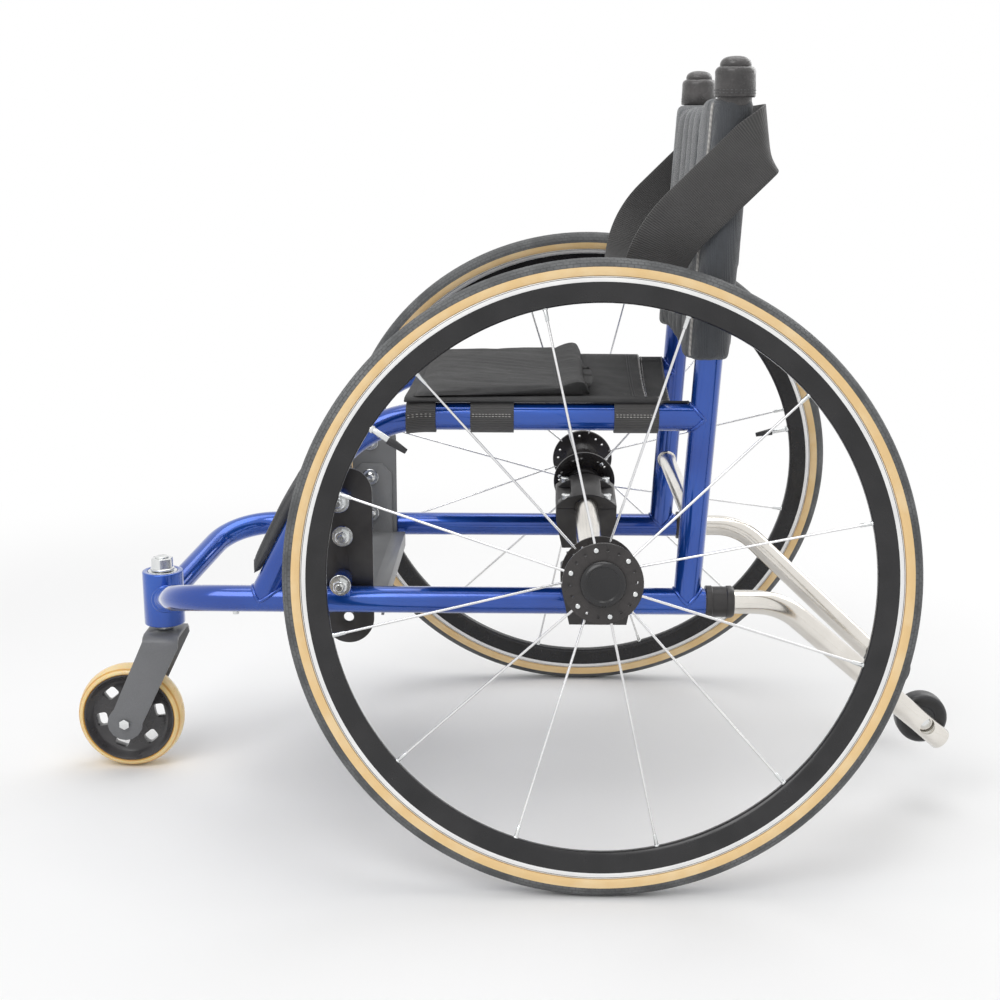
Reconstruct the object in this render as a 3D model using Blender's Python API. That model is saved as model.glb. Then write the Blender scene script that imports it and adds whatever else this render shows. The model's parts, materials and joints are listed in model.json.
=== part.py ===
# Active wheelchair with a rigid welded frame, two cambered drive wheels, one
# front caster on the middle plane and a small anti-tip wheel behind each side.
# Lengths are metres. +X is the chair's rear, +Y its right side, +Z is up.
# The axle stands at X = 0 while modelling, and the last step centres the chair.

import math

import bmesh
import bpy
from mathutils import Matrix, Vector

# General fits
TOUCH_GAP = 0.0003
RUNNING_GAP = 0.0012
SIDES = {"left": -1.0, "right": 1.0}

# Drive wheels
CAMBER = math.radians(10.0)
HUB_HALF_TRACK = 0.270
TYRE_RING_RADIUS = 0.3075
TYRE_SECTION_RADIUS = 0.0125
TYRE_ARC_STEPS = 5
WHEEL_SEGMENTS = 44
RIM_EDGE_RADIUS = 0.301
RIM_INNER_RADIUS = 0.275
RIM_HALF_WIDTH = 0.0095
RIM_WALL = 0.0017
RIM_CHANNEL_DEPTH = 0.0065
RIM_TRACK_DEPTH = 0.006
RIM_NOSE_HALF_WIDTH = 0.004
SPOKE_COUNT = 12
SPOKE_RADIUS = 0.0013
SPOKE_ANGLE = math.radians(42.2)
SPOKE_HEAD_CIRCLE = 0.033
NIPPLE_RADIUS = 0.0021
NIPPLE_LENGTH = 0.014
NIPPLE_SEAT_GAP = 0.0007

# Drive wheel hubs and their quick-release pins
FLANGE_RADIUS = 0.040
FLANGE_THICKNESS = 0.0036
OUTER_FLANGE_OFFSET = 0.0344
INNER_FLANGE_OFFSET = 0.0463
FLANGE_HOLE_COUNT = 18
FLANGE_HOLE_RADIUS = 0.0016
HUB_BARREL_RADIUS = 0.0165
HUB_NECK_RADIUS = 0.0205
HUB_END_BOSS = 0.0065
HUB_SEGMENTS = 18
HUB_CAP_RADIUS = 0.0226
HUB_CAP_STEP_RADIUS = 0.018
HUB_CAP_DEPTH = 0.0085
HUB_CAP_STEP = 0.0035
HUB_CAP_WALL = 0.002
PIN_RADIUS = 0.00635
PIN_HEAD_RADIUS = 0.0085
PIN_HEAD_LENGTH = 0.004
PIN_HOLD = 0.055
PIN_BORE_GAP = 0.00015

# Camber tube and its clamps
AXLE_TUBE_RADIUS = 0.015
AXLE_TUBE_BEND = 0.200
HUB_TO_TUBE_GAP = 0.0006
CLAMP_HALF_WIDTH = 0.038
CLAMP_HALF_LENGTH = 0.035
CLAMP_FLANGE_LENGTH = 0.014
CLAMP_CROWN = 0.0195
CLAMP_ARCH_RADIUS = 0.054
CLAMP_SIDE_DROP = 0.018
CLAMP_FOOT_HALF_WIDTH = 0.030
CLAMP_WALL_BELOW_RAIL = 0.0055
CLAMP_RECESS_FLOOR = 0.006
CLAMP_RECESS_HALF_WIDTH = 0.019
CLAMP_BOLT_X = 0.0265
CLAMP_BOLT_HEAD_RADIUS = 0.0052
CLAMP_BOLT_HEAD_HEIGHT = 0.004

# Frame tubes
TUBE_RADIUS = 0.0143
FRAME_HALF_WIDTH = 0.168
LOWER_RAIL_HEIGHT = 0.262
RAIL_REAR_X = 0.116
RAIL_FRONT_CORNER_X = -0.451
RAIL_FRONT_BEND = 0.076
SEAT_RAIL_HEIGHT = 0.462
LEG_ANGLE = math.radians(62.2)
LEG_FOOT_X = -0.3602
LEG_BEND = 0.125
POST_FOOT_X = 0.096
POST_LEAN = math.radians(3.5)
POST_TOP_HEIGHT = 0.802
BRACE_HEIGHT = 0.350
BRACE_RADIUS = 0.010

# Caster housing, fork and wheel
HOUSING_X = -0.507
HOUSING_RADIUS = 0.024
HOUSING_BOTTOM = 0.1805
HOUSING_TOP = 0.245
RAIL_END_HEIGHT = 0.209
STEM_RADIUS = 0.0075
BEARING_RADIUS = 0.0175
BEARING_HEIGHT = 0.011
STEM_NUT_RADIUS = 0.0132
STEM_NUT_HEIGHT = 0.012
STEM_WASHER_RADIUS = 0.0142
STEM_WASHER_HEIGHT = 0.0022
STEM_COLLAR_RADIUS = 0.0098
FORK_TOP_HEIGHT = 0.1722
FORK_THICKNESS = 0.004
FORK_TOP_HALF_LENGTH = 0.0225
FORK_HALF_WIDTH = 0.034
FORK_BEND = 0.014
FORK_BLADE_WIDTH = 0.042
CASTER_TRAIL = 0.046
CASTER_RADIUS = 0.064
CASTER_HALF_WIDTH = 0.016
CASTER_TYRE_INNER = 0.0495
CASTER_RIM_WALL = 0.004
CASTER_WEB_HALF = 0.004
CASTER_BOSS_RADIUS = 0.0125
CASTER_WINDOW_CIRCLE = 0.032
CASTER_WINDOW_LENGTH = 0.013
CASTER_WINDOW_HEIGHT = 0.011
CASTER_WINDOW_COUNT = 6
CASTER_SEGMENTS = 28
CASTER_BOLT_RADIUS = 0.004

# Foot rest
PLATE_X = -0.268
PLATE_HALF_WIDTH = 0.0275
PLATE_BOTTOM = 0.208
PLATE_TOP = 0.403
PLATE_THICKNESS = 0.005
PLATE_HOLE_HEIGHT = 0.237
PLATE_HOLE_RADIUS = 0.0055
LUG_HALF_WIDTH = 0.0108
LUG_OUTER_REACH = 0.012
BOLT_X = -0.273
BOLT_HEIGHTS = {"low": 0.281, "mid": 0.328, "top": 0.372}
BOLT_RADIUS = 0.004
BOLT_HEAD_RADIUS = 0.0065
BOLT_HEAD_HEIGHT = 0.004
NUT_RADIUS = 0.0078
NUT_HEIGHT = 0.0075
WASHER_RADIUS = 0.0115
WASHER_HEIGHT = 0.0018
FOOTREST_TOP = 0.256
FOOTREST_THICKNESS = 0.003
FOOTREST_FRONT_X = -0.335
FOOTREST_REAR_X = -0.230
FOOTREST_LIP = 0.018
FLANGE_TOP = 0.345
FLANGE_FRONT_X = -0.296
FLANGE_REAR_X = -0.246

# Leg strap
STRAP_PANEL_THICKNESS = 0.010
STRAP_PANEL_LOW = 0.030
STRAP_PANEL_HIGH = 0.150
STRAP_PANEL_HALF_WIDTH = 0.176

# Seat
SEAT_STRAP_THICKNESS = 0.0018
SEAT_STRAP_GAP = 0.0008
SEAT_STRAPS = {"front": (-0.201, -0.170), "middle": (-0.134, -0.089), "rear": (0.015, 0.061)}
SLING_FRONT_X = -0.203
SLING_REAR_X = 0.062
REAR_PANEL_X = (0.066, 0.092)
SLING_THICKNESS = 0.0025
SLING_OVERHANG = 0.010
SEAT_CONTACT = 0.0115
SEAT_LAYER_GAP = 0.0009
SEAT_STEPS_ACROSS = 12
PAD_SET_IN = 0.004
PAD_GAP = 0.0006
REAR_PANEL_GAP = 0.0004
SLING_FRONT_SAG = 0.003
SLING_REAR_SAG = 0.034
PAD_FRONT_X = -0.197
PAD_REAR_X = -0.009
PAD_STEPS = 12
PAD_FRONT_THICKNESS = 0.004
PAD_REAR_THICKNESS = 0.013
PAD_RIDGE = 0.009
PAD_REAR_SET_IN = 0.018

# Back upholstery and post caps
BACK_BOTTOM = 0.522
BACK_TOP = 0.784
SLEEVE_HALF_DEPTH = 0.0215
SLEEVE_HALF_WIDTH = 0.0178
BACK_PAD_DEPTH = 0.017
BACK_CHANNELS = 6
BACK_CHANNEL_DEPTH = 0.006
BACK_SAG = 0.014
CAP_TOP = 0.824
CAP_RADIUS = 0.0205
CAP_BORE_GAP = 0.0006

# Belt
BELT_WIDTH = 0.063
BELT_THICKNESS = 0.003
BELT_SLEEVE_GAP = 0.0005
BELT_BACK = (0.164, 0.747)
BELT_KNEE = (0.060, 0.645)
BELT_DROP_X = 0.048
BELT_DROP_HEIGHT = 0.592
BELT_DROP_HALF_WIDTH = 0.160
BELT_SAG = 0.008
BELT_BENDS = (0.020, 0.090, 0.045)

# Anti-tip tubes and wheels
COLLAR_RADIUS = 0.0173
COLLAR_LENGTH = 0.030
ANTI_TIP_RADIUS = 0.0127
ANTI_TIP_INSERT = 0.055
ANTI_TIP_CORNER_X = 0.196
ANTI_TIP_BEND_RADIUS = 0.0696
ANTI_TIP_BEND = math.radians(43.9)
ANTI_TIP_ROLL = math.radians(20.2)
ANTI_TIP_REACH = 0.277
ANTI_TIP_AXLE_REACH = 0.250
ANTI_TIP_AXLE_RISE = 0.003
ANTI_WHEEL_RADIUS = 0.0288
ANTI_WHEEL_HALF_WIDTH = 0.012
ANTI_BOLT_RADIUS = 0.004
ANTI_BOLT_POCKET_RADIUS = 0.009

# Facet counts
TUBE_RESOLUTION = 4
ROUND_SIDES = 16
SMALL_SIDES = 8
SPOKE_SIDES = 5
ANTI_WHEEL_SEGMENTS = 22
CAP_SEGMENTS = 14
CUTTER_MARGIN = 0.010
BEND_STEP = math.radians(12.0)


def clear_scene():
    """Remove every object that the scene starts with."""
    for thing in list(bpy.data.objects):
        bpy.data.objects.remove(thing)


def finish(name, colour, roughness, metallic=0.0):
    """A plain surface: one Principled shader with its colour and sheen."""
    material = bpy.data.materials.new(name)
    material.use_nodes = True
    shader = material.node_tree.nodes["Principled BSDF"]
    shader.inputs["Base Color"].default_value = (*colour, 1.0)
    shader.inputs["Roughness"].default_value = roughness
    shader.inputs["Metallic"].default_value = metallic
    material.diffuse_color = (*colour, 1.0)
    return material


def place(name, mesh, material, parent=None):
    """Put a mesh in the scene as one named piece, shaded smooth over its soft edges."""
    piece = bpy.data.objects.new(name, mesh)
    bpy.context.scene.collection.objects.link(piece)
    mesh.materials.clear()
    if material is not None:
        mesh.materials.append(material)
    mesh.shade_smooth()
    mesh.set_sharp_from_angle(angle=math.radians(35.0))
    piece.parent = parent
    return piece


def mesh_from(bm, name):
    """Close a bmesh into a mesh with welded points and outward faces."""
    bmesh.ops.remove_doubles(bm, verts=bm.verts, dist=1e-6)
    bmesh.ops.recalc_face_normals(bm, faces=bm.faces)
    mesh = bpy.data.meshes.new(name)
    bm.to_mesh(mesh)
    bm.free()
    return mesh


def route(corners, bends):
    """Points along straight runs joined by round bends, one radius for each inner corner."""
    corners = [Vector(corner) for corner in corners]
    points = [corners[0]]
    for before, corner, after, radius in zip(corners, corners[1:], corners[2:], bends):
        back = (before - corner).normalized()
        ahead = (after - corner).normalized()
        turn = math.pi - back.angle(ahead)
        start = corner + back * radius * math.tan(turn / 2)
        centre = corner + (back + ahead).normalized() * radius / math.cos(turn / 2)
        arm = start - centre
        steps = max(2, math.ceil(turn / BEND_STEP))
        for step in range(steps + 1):
            angle = turn * step / steps
            points.append(centre + arm * math.cos(angle) - back * radius * math.sin(angle))
    points.append(corners[-1])
    return points


def tube_mesh(name, points, radius, resolution=TUBE_RESOLUTION):
    """A round bar swept along points, closed at both ends."""
    curve = bpy.data.curves.new(name, "CURVE")
    curve.dimensions = "3D"
    curve.bevel_depth = radius
    curve.bevel_resolution = resolution
    curve.use_fill_caps = True
    spline = curve.splines.new("POLY")
    spline.points.add(len(points) - 1)
    for spot, point in zip(spline.points, points):
        spot.co = (*point, 1.0)
    guide = bpy.data.objects.new(name, curve)
    bpy.context.scene.collection.objects.link(guide)
    graph = bpy.context.evaluated_depsgraph_get()
    swept = bpy.data.meshes.new_from_object(guide.evaluated_get(graph))
    bpy.data.objects.remove(guide)
    bm = bmesh.new()
    bm.from_mesh(swept)
    return mesh_from(bm, name)


def turned_mesh(name, profile, segments, frame=None):
    """Turn a closed outline of (radius, height) points about its Z axis."""
    bm = bmesh.new()
    ring = [bm.verts.new((radius, 0.0, height)) for radius, height in profile]
    edges = [bm.edges.new(pair) for pair in zip(ring, ring[1:] + ring[:1])]
    bmesh.ops.spin(
        bm, geom=ring + edges, axis=(0, 0, 1), cent=(0, 0, 0),
        steps=segments, angle=math.tau, use_merge=True,
    )
    if frame is not None:
        bm.transform(frame)
    return mesh_from(bm, name)


def extruded_mesh(name, outline, depth, frame):
    """Extrude a flat outline along its local Z by depth, then set it in its frame."""
    bm = bmesh.new()
    face = bm.faces.new([bm.verts.new((x, y, 0.0)) for x, y in outline])
    grown = bmesh.ops.extrude_face_region(bm, geom=[face])
    moved = [item for item in grown["geom"] if isinstance(item, bmesh.types.BMVert)]
    bmesh.ops.translate(bm, verts=moved, vec=(0.0, 0.0, depth))
    bm.transform(frame)
    return mesh_from(bm, name)


def bar_mesh(name, start, end, radius, sides=ROUND_SIDES):
    """A straight round bar between two points."""
    start, end = Vector(start), Vector(end)
    along = end - start
    frame = Matrix.Translation((start + end) / 2) @ along.to_track_quat("Z", "Y").to_matrix().to_4x4()
    bm = bmesh.new()
    bmesh.ops.create_cone(
        bm, cap_ends=True, segments=sides, radius1=radius, radius2=radius,
        depth=along.length, matrix=frame,
    )
    return mesh_from(bm, name)


def box_mesh(name, low, high, frame=None):
    """A box between two corners, set in a frame."""
    low, high = Vector(low), Vector(high)
    bm = bmesh.new()
    bmesh.ops.create_cube(
        bm, size=1.0,
        matrix=Matrix.Translation((low + high) / 2) @ Matrix.Diagonal((*(high - low), 1.0)),
    )
    if frame is not None:
        bm.transform(frame)
    return mesh_from(bm, name)


def helper(mesh, parent=None):
    """A hidden shape that a Boolean reads."""
    shape = bpy.data.objects.new(mesh.name, mesh)
    bpy.context.scene.collection.objects.link(shape)
    shape.hide_render = True
    shape.display_type = "WIRE"
    shape.parent = parent
    return shape


def combine(piece, operation, meshes):
    """Join meshes to a piece, or cut them from it, in the piece's own frame."""
    for mesh in meshes:
        modifier = piece.modifiers.new(f"{operation.lower()} {mesh.name}", "BOOLEAN")
        modifier.operation = operation
        modifier.solver = "EXACT"
        modifier.object = helper(mesh, piece.parent)


def cut(piece, *meshes):
    combine(piece, "DIFFERENCE", meshes)


def fuse(piece, *meshes):
    combine(piece, "UNION", meshes)


def surface_mesh(name, rows, thickness, closed=False):
    """A cloth-like sheet through rows of points, given its thickness on the inner side."""
    bm = bmesh.new()
    grid = [[bm.verts.new(point) for point in row] for row in rows]
    pairs = list(zip(grid, grid[1:]))
    if closed:
        pairs.append((grid[-1], grid[0]))
    for first, second in pairs:
        for a, b, c, d in zip(first, first[1:], second[1:], second):
            bm.faces.new((a, b, c, d))
    bmesh.ops.recalc_face_normals(bm, faces=bm.faces)
    bmesh.ops.solidify(bm, geom=bm.faces, thickness=thickness)
    return mesh_from(bm, name)


def lofted_mesh(name, rings):
    """Join rings of equal length into one closed body with flat ends."""
    bm = bmesh.new()
    grid = [[bm.verts.new(point) for point in ring] for ring in rings]
    for first, second in zip(grid, grid[1:]):
        for index, vertex in enumerate(first):
            following = (index + 1) % len(first)
            bm.faces.new((vertex, first[following], second[following], second[index]))
    bm.faces.new(grid[0])
    bm.faces.new(grid[-1])
    return mesh_from(bm, name)


def arc(centre, radius, start, end, steps):
    """Points of a flat arc, both ends included, angles in radians."""
    return [
        (
            centre[0] + radius * math.cos(start + (end - start) * step / steps),
            centre[1] + radius * math.sin(start + (end - start) * step / steps),
        )
        for step in range(steps + 1)
    ]


def upright_frame(y):
    """Local X is the chair's X, local Y is up, and local Z points to the chair's left."""
    return Matrix.Translation((0.0, y, 0.0)) @ Matrix.Rotation(math.pi / 2, 4, "X")


def post_x(height):
    """The back post's axis leans to the rear as it rises."""
    return POST_FOOT_X + (height - LOWER_RAIL_HEIGHT) * math.tan(POST_LEAN)


def leg_x(height):
    """The front leg's axis, in front of its bend."""
    return LEG_FOOT_X + (height - LOWER_RAIL_HEIGHT) / math.tan(LEG_ANGLE)


def tyre_profile():
    """Half-round tread over a neck that sits in the rim's channel."""
    neck = RIM_HALF_WIDTH - RIM_WALL - TOUCH_GAP
    seat = RIM_EDGE_RADIUS - RIM_CHANNEL_DEPTH + TOUCH_GAP
    shoulder = RIM_EDGE_RADIUS + TOUCH_GAP
    reach = math.acos((TYRE_RING_RADIUS - shoulder) / TYRE_SECTION_RADIUS)
    tread = arc(
        (TYRE_RING_RADIUS, 0.0), TYRE_SECTION_RADIUS,
        reach - math.pi, math.pi - reach, TYRE_ARC_STEPS,
    )
    return [(seat, -neck), (shoulder, -neck), *tread, (shoulder, neck), (seat, neck)]


def rim_profile():
    """Hooked walls, a channel for the tyre, flat brake tracks and a deep tapered nose."""
    channel = RIM_EDGE_RADIUS - RIM_CHANNEL_DEPTH
    inner_wall = RIM_HALF_WIDTH - RIM_WALL
    track = RIM_EDGE_RADIUS - RIM_TRACK_DEPTH
    return [
        (RIM_EDGE_RADIUS, inner_wall),
        (channel, inner_wall),
        (channel, -inner_wall),
        (RIM_EDGE_RADIUS, -inner_wall),
        (RIM_EDGE_RADIUS, -RIM_HALF_WIDTH),
        (track, -RIM_HALF_WIDTH),
        (RIM_INNER_RADIUS, -RIM_NOSE_HALF_WIDTH),
        (RIM_INNER_RADIUS, RIM_NOSE_HALF_WIDTH),
        (track, RIM_HALF_WIDTH),
        (RIM_EDGE_RADIUS, RIM_HALF_WIDTH),
    ]


# The lowest point of the leaning tyre stands on the floor.
HUB_HEIGHT = max(
    radius * math.cos(CAMBER) + abs(offset) * math.sin(CAMBER) for radius, offset in tyre_profile()
)
AXLE_AT_MIDDLE = HUB_HEIGHT - HUB_HALF_TRACK * math.tan(CAMBER)
HUB_INNER_END = INNER_FLANGE_OFFSET + FLANGE_THICKNESS / 2 + HUB_END_BOSS
HUB_OUTER_END = OUTER_FLANGE_OFFSET + FLANGE_THICKNESS / 2


def axle_frame(side):
    """The wheel's frame at its hub centre: local Z points outward along the leaning axle."""
    outward = Vector((0.0, side * math.cos(CAMBER), math.sin(CAMBER)))
    across = Vector((-side, 0.0, 0.0))
    upward = outward.cross(across)
    turn = Matrix((across, upward, outward)).transposed().to_4x4()
    return Matrix.Translation((0.0, side * HUB_HALF_TRACK, HUB_HEIGHT)) @ turn


def axle_point(side, inward):
    """A point on the axle line, this far inward from the hub centre."""
    return axle_frame(side) @ Vector((0.0, 0.0, -inward))


def hub_profile():
    """Two flanges on a waisted barrel, bored for the pin, with a boss at the inner end."""
    bore = PIN_RADIUS + PIN_BORE_GAP + TOUCH_GAP
    inner = -INNER_FLANGE_OFFSET
    outer = OUTER_FLANGE_OFFSET
    half = FLANGE_THICKNESS / 2
    return [
        (bore, -HUB_INNER_END),
        (bore, HUB_OUTER_END),
        (FLANGE_RADIUS, HUB_OUTER_END),
        (FLANGE_RADIUS, outer - half),
        (HUB_NECK_RADIUS + 0.002, outer - half),
        (HUB_BARREL_RADIUS, outer - half - 0.012),
        (HUB_BARREL_RADIUS, inner + half + 0.012),
        (HUB_NECK_RADIUS + 0.002, inner + half),
        (FLANGE_RADIUS, inner + half),
        (FLANGE_RADIUS, inner - half),
        (HUB_NECK_RADIUS, inner - half),
        (HUB_BARREL_RADIUS, -HUB_INNER_END),
    ]


def spoke_meshes():
    """Radial spokes, by turns from the outer and the inner flange, each with its nipple."""
    shapes = []
    for index in range(SPOKE_COUNT):
        angle = SPOKE_ANGLE + math.tau * index / SPOKE_COUNT
        offset = OUTER_FLANGE_OFFSET if index % 2 == 0 else -INNER_FLANGE_OFFSET
        radial = Vector((math.cos(angle), math.sin(angle), 0.0))
        head = radial * SPOKE_HEAD_CIRCLE + Vector((0.0, 0.0, offset))
        tip = radial * (RIM_INNER_RADIUS * math.cos(math.pi / WHEEL_SEGMENTS) - NIPPLE_SEAT_GAP)
        nipple = tip + (head - tip).normalized() * NIPPLE_LENGTH
        shapes.append(bar_mesh(f"spoke {index}", head, (nipple + tip) / 2, SPOKE_RADIUS, SPOKE_SIDES))
        shapes.append(bar_mesh(f"nipple {index}", nipple, tip, NIPPLE_RADIUS, SPOKE_SIDES))
    return shapes


def joined_mesh(name, meshes):
    """Union of several meshes as one mesh."""
    base = bpy.data.objects.new(name, meshes[0])
    bpy.context.scene.collection.objects.link(base)
    operands = []
    for mesh in meshes[1:]:
        operand = helper(mesh)
        operands.append(operand)
        modifier = base.modifiers.new("join", "BOOLEAN")
        modifier.operation = "UNION"
        modifier.object = operand
    bpy.context.view_layer.update()
    graph = bpy.context.evaluated_depsgraph_get()
    joined = bpy.data.meshes.new_from_object(base.evaluated_get(graph))
    joined.name = name
    for thing in [base, *operands]:
        bpy.data.objects.remove(thing)
    return joined


def build_drive_wheels(chair, looks):
    """Each drive wheel turns about its leaning axle: tyre, rim, spoked hub and cap."""
    tyre = turned_mesh("tyre", tyre_profile(), WHEEL_SEGMENTS)
    rim = turned_mesh("rim", rim_profile(), WHEEL_SEGMENTS)
    hub = joined_mesh("spoked hub", [turned_mesh("hub", hub_profile(), HUB_SEGMENTS), *spoke_meshes()])
    low = HUB_OUTER_END + TOUCH_GAP
    cap = turned_mesh("hub cap", [
        (HUB_CAP_RADIUS, low),
        (HUB_CAP_RADIUS, low + HUB_CAP_DEPTH - HUB_CAP_STEP),
        (HUB_CAP_STEP_RADIUS, low + HUB_CAP_DEPTH),
        (0.0, low + HUB_CAP_DEPTH),
        (0.0, low + HUB_CAP_DEPTH - HUB_CAP_WALL),
        (HUB_CAP_STEP_RADIUS - HUB_CAP_WALL, low + HUB_CAP_DEPTH - HUB_CAP_WALL),
        (HUB_CAP_STEP_RADIUS - HUB_CAP_WALL, low),
    ], HUB_SEGMENTS)
    for side_name, side in SIDES.items():
        axle = bpy.data.objects.new(f"wheel_axis_{side_name}", None)
        bpy.context.scene.collection.objects.link(axle)
        axle.parent = chair
        axle.matrix_local = axle_frame(side)
        place(f"tyre_{side_name}", tyre.copy(), looks["tyre"], axle)
        place(f"rim_{side_name}", rim.copy(), looks["gloss_black"], axle)
        place(f"spoked_hub_{side_name}", hub.copy(), looks["hub_black"], axle)
        place(f"hub_cap_{side_name}", cap.copy(), looks["gloss_black"], axle)


def build_axle(chair, looks):
    """The camber tube, bent at the middle, and the quick-release pins in its ends."""
    tube_start = HUB_INNER_END + HUB_TO_TUBE_GAP
    ends = {name: axle_point(side, tube_start) for name, side in SIDES.items()}
    middle = Vector((0.0, 0.0, AXLE_AT_MIDDLE))
    points = route([ends["left"], middle, ends["right"]], [AXLE_TUBE_BEND])
    tube = place("axle_tube", tube_mesh("axle tube", points, AXLE_TUBE_RADIUS), looks["polished"], chair)
    for side_name, side in SIDES.items():
        inner_end = tube_start + PIN_HOLD
        bore_end = axle_point(side, inner_end + RUNNING_GAP)
        bore_start = axle_point(side, tube_start - CUTTER_MARGIN)
        cut(tube, bar_mesh(f"pin bore {side_name}", bore_start, bore_end, PIN_RADIUS + PIN_BORE_GAP))
        head = -HUB_OUTER_END - RUNNING_GAP
        profile = [
            (0.0, -inner_end),
            (PIN_RADIUS, -inner_end),
            (PIN_RADIUS, -head),
            (PIN_HEAD_RADIUS, -head),
            (PIN_HEAD_RADIUS, -head + PIN_HEAD_LENGTH),
            (0.0, -head + PIN_HEAD_LENGTH),
        ]
        pin = turned_mesh("axle pin", profile, ROUND_SIDES, axle_frame(side))
        place(f"axle_pin_{side_name}", pin, looks["steel"], chair)


def build_clamps(chair, looks):
    """Two-part clamps that hold the camber tube on the lower rails."""
    for side_name, side in SIDES.items():
        along = (HUB_HALF_TRACK - FRAME_HALF_WIDTH) / math.cos(CAMBER)
        frame = Matrix.Translation(axle_point(side, along)) @ axle_frame(side).to_3x3().to_4x4()
        drop = frame.translation.z - LOWER_RAIL_HEIGHT
        foot = -(drop + TUBE_RADIUS + CLAMP_WALL_BELOW_RAIL)
        base_outline = [
            (-CLAMP_HALF_WIDTH, -TOUCH_GAP / 2),
            (-CLAMP_HALF_WIDTH, -CLAMP_SIDE_DROP),
            (-CLAMP_FOOT_HALF_WIDTH, foot),
            (CLAMP_FOOT_HALF_WIDTH, foot),
            (CLAMP_HALF_WIDTH, -CLAMP_SIDE_DROP),
            (CLAMP_HALF_WIDTH, -TOUCH_GAP / 2),
        ]
        start = frame @ Matrix.Translation((0.0, 0.0, -CLAMP_HALF_LENGTH))
        base = place(
            f"axle_clamp_{side_name}",
            extruded_mesh("clamp base", base_outline, 2 * CLAMP_HALF_LENGTH, start),
            looks["black"], chair,
        )
        tube_start = axle_point(side, along + CLAMP_HALF_LENGTH + CUTTER_MARGIN)
        tube_end = axle_point(side, along - CLAMP_HALF_LENGTH - CUTTER_MARGIN)
        bore = AXLE_TUBE_RADIUS + TOUCH_GAP
        rail_y = side * FRAME_HALF_WIDTH
        rail_reach = CLAMP_HALF_WIDTH + CUTTER_MARGIN
        cut(
            base,
            bar_mesh("clamp tube bore", tube_start, tube_end, bore),
            bar_mesh(
                "clamp rail bore",
                (-rail_reach, rail_y, LOWER_RAIL_HEIGHT),
                (rail_reach, rail_y, LOWER_RAIL_HEIGHT),
                TUBE_RADIUS + TOUCH_GAP,
            ),
        )
        half_angle = math.asin(CLAMP_HALF_WIDTH / CLAMP_ARCH_RADIUS)
        arch_centre = (0.0, CLAMP_CROWN - CLAMP_ARCH_RADIUS)
        cap_outline = arc(
            arch_centre, CLAMP_ARCH_RADIUS,
            math.pi / 2 - half_angle, math.pi / 2 + half_angle, 10,
        )
        cap_outline += [(-CLAMP_HALF_WIDTH, TOUCH_GAP / 2), (CLAMP_HALF_WIDTH, TOUCH_GAP / 2)]
        cap = place(
            f"axle_clamp_cap_{side_name}",
            extruded_mesh("clamp cap", cap_outline, 2 * CLAMP_HALF_LENGTH, start),
            looks["black"], chair,
        )
        pocket = CLAMP_HALF_LENGTH - CLAMP_FLANGE_LENGTH
        for direction in (-1.0, 1.0):
            near = direction * CLAMP_RECESS_HALF_WIDTH
            far = direction * (CLAMP_HALF_WIDTH + CUTTER_MARGIN)
            cut(cap, box_mesh(
                "clamp recess",
                (min(near, far), CLAMP_RECESS_FLOOR, -pocket),
                (max(near, far), CLAMP_CROWN + CUTTER_MARGIN, pocket),
                frame,
            ))
        cut(cap, bar_mesh("cap tube bore", tube_start, tube_end, bore))
        arch_height = CLAMP_CROWN - CLAMP_ARCH_RADIUS
        arch_height += math.sqrt(CLAMP_ARCH_RADIUS ** 2 - CLAMP_BOLT_X ** 2)
        row = CLAMP_HALF_LENGTH - CLAMP_FLANGE_LENGTH / 2
        for x in (-CLAMP_BOLT_X, CLAMP_BOLT_X):
            for z in (-row, row):
                fuse(cap, bar_mesh(
                    "cap bolt head",
                    frame @ Vector((x, CLAMP_RECESS_FLOOR, z)),
                    frame @ Vector((x, arch_height + CLAMP_BOLT_HEAD_HEIGHT, z)),
                    CLAMP_BOLT_HEAD_RADIUS, SMALL_SIDES,
                ))


def lug_outline(height, reach_x):
    """A lug with a round end about its bolt, reaching to the tube that carries it."""
    if reach_x is None:
        ends = [(BOLT_X - LUG_HALF_WIDTH, LOWER_RAIL_HEIGHT), (BOLT_X + LUG_HALF_WIDTH, LOWER_RAIL_HEIGHT)]
        return [*ends, *arc((BOLT_X, height), LUG_HALF_WIDTH, 0.0, math.pi, 8)]
    ends = [(reach_x, height + LUG_HALF_WIDTH), (reach_x, height - LUG_HALF_WIDTH)]
    return [*ends, *arc((BOLT_X, height), LUG_HALF_WIDTH, -math.pi / 2, math.pi / 2, 8)]


def lug_mesh(side, height, reach_x):
    """The lug's solid, flush with the tube's inner side and proud of its outer side."""
    inner = FRAME_HALF_WIDTH - TUBE_RADIUS
    outer = FRAME_HALF_WIDTH + LUG_OUTER_REACH
    base = max(side * inner, side * outer)
    return extruded_mesh("lug", lug_outline(height, reach_x), outer - inner, upright_frame(base))


def bolt_hole(side, height):
    """A cutter for one foot-rest bolt, right through plate, flange and lug."""
    return bar_mesh(
        "bolt hole",
        (BOLT_X, side * (FRAME_HALF_WIDTH - 0.050), height),
        (BOLT_X, side * (FRAME_HALF_WIDTH + 0.050), height),
        BOLT_RADIUS + TOUCH_GAP, SMALL_SIDES,
    )


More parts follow.
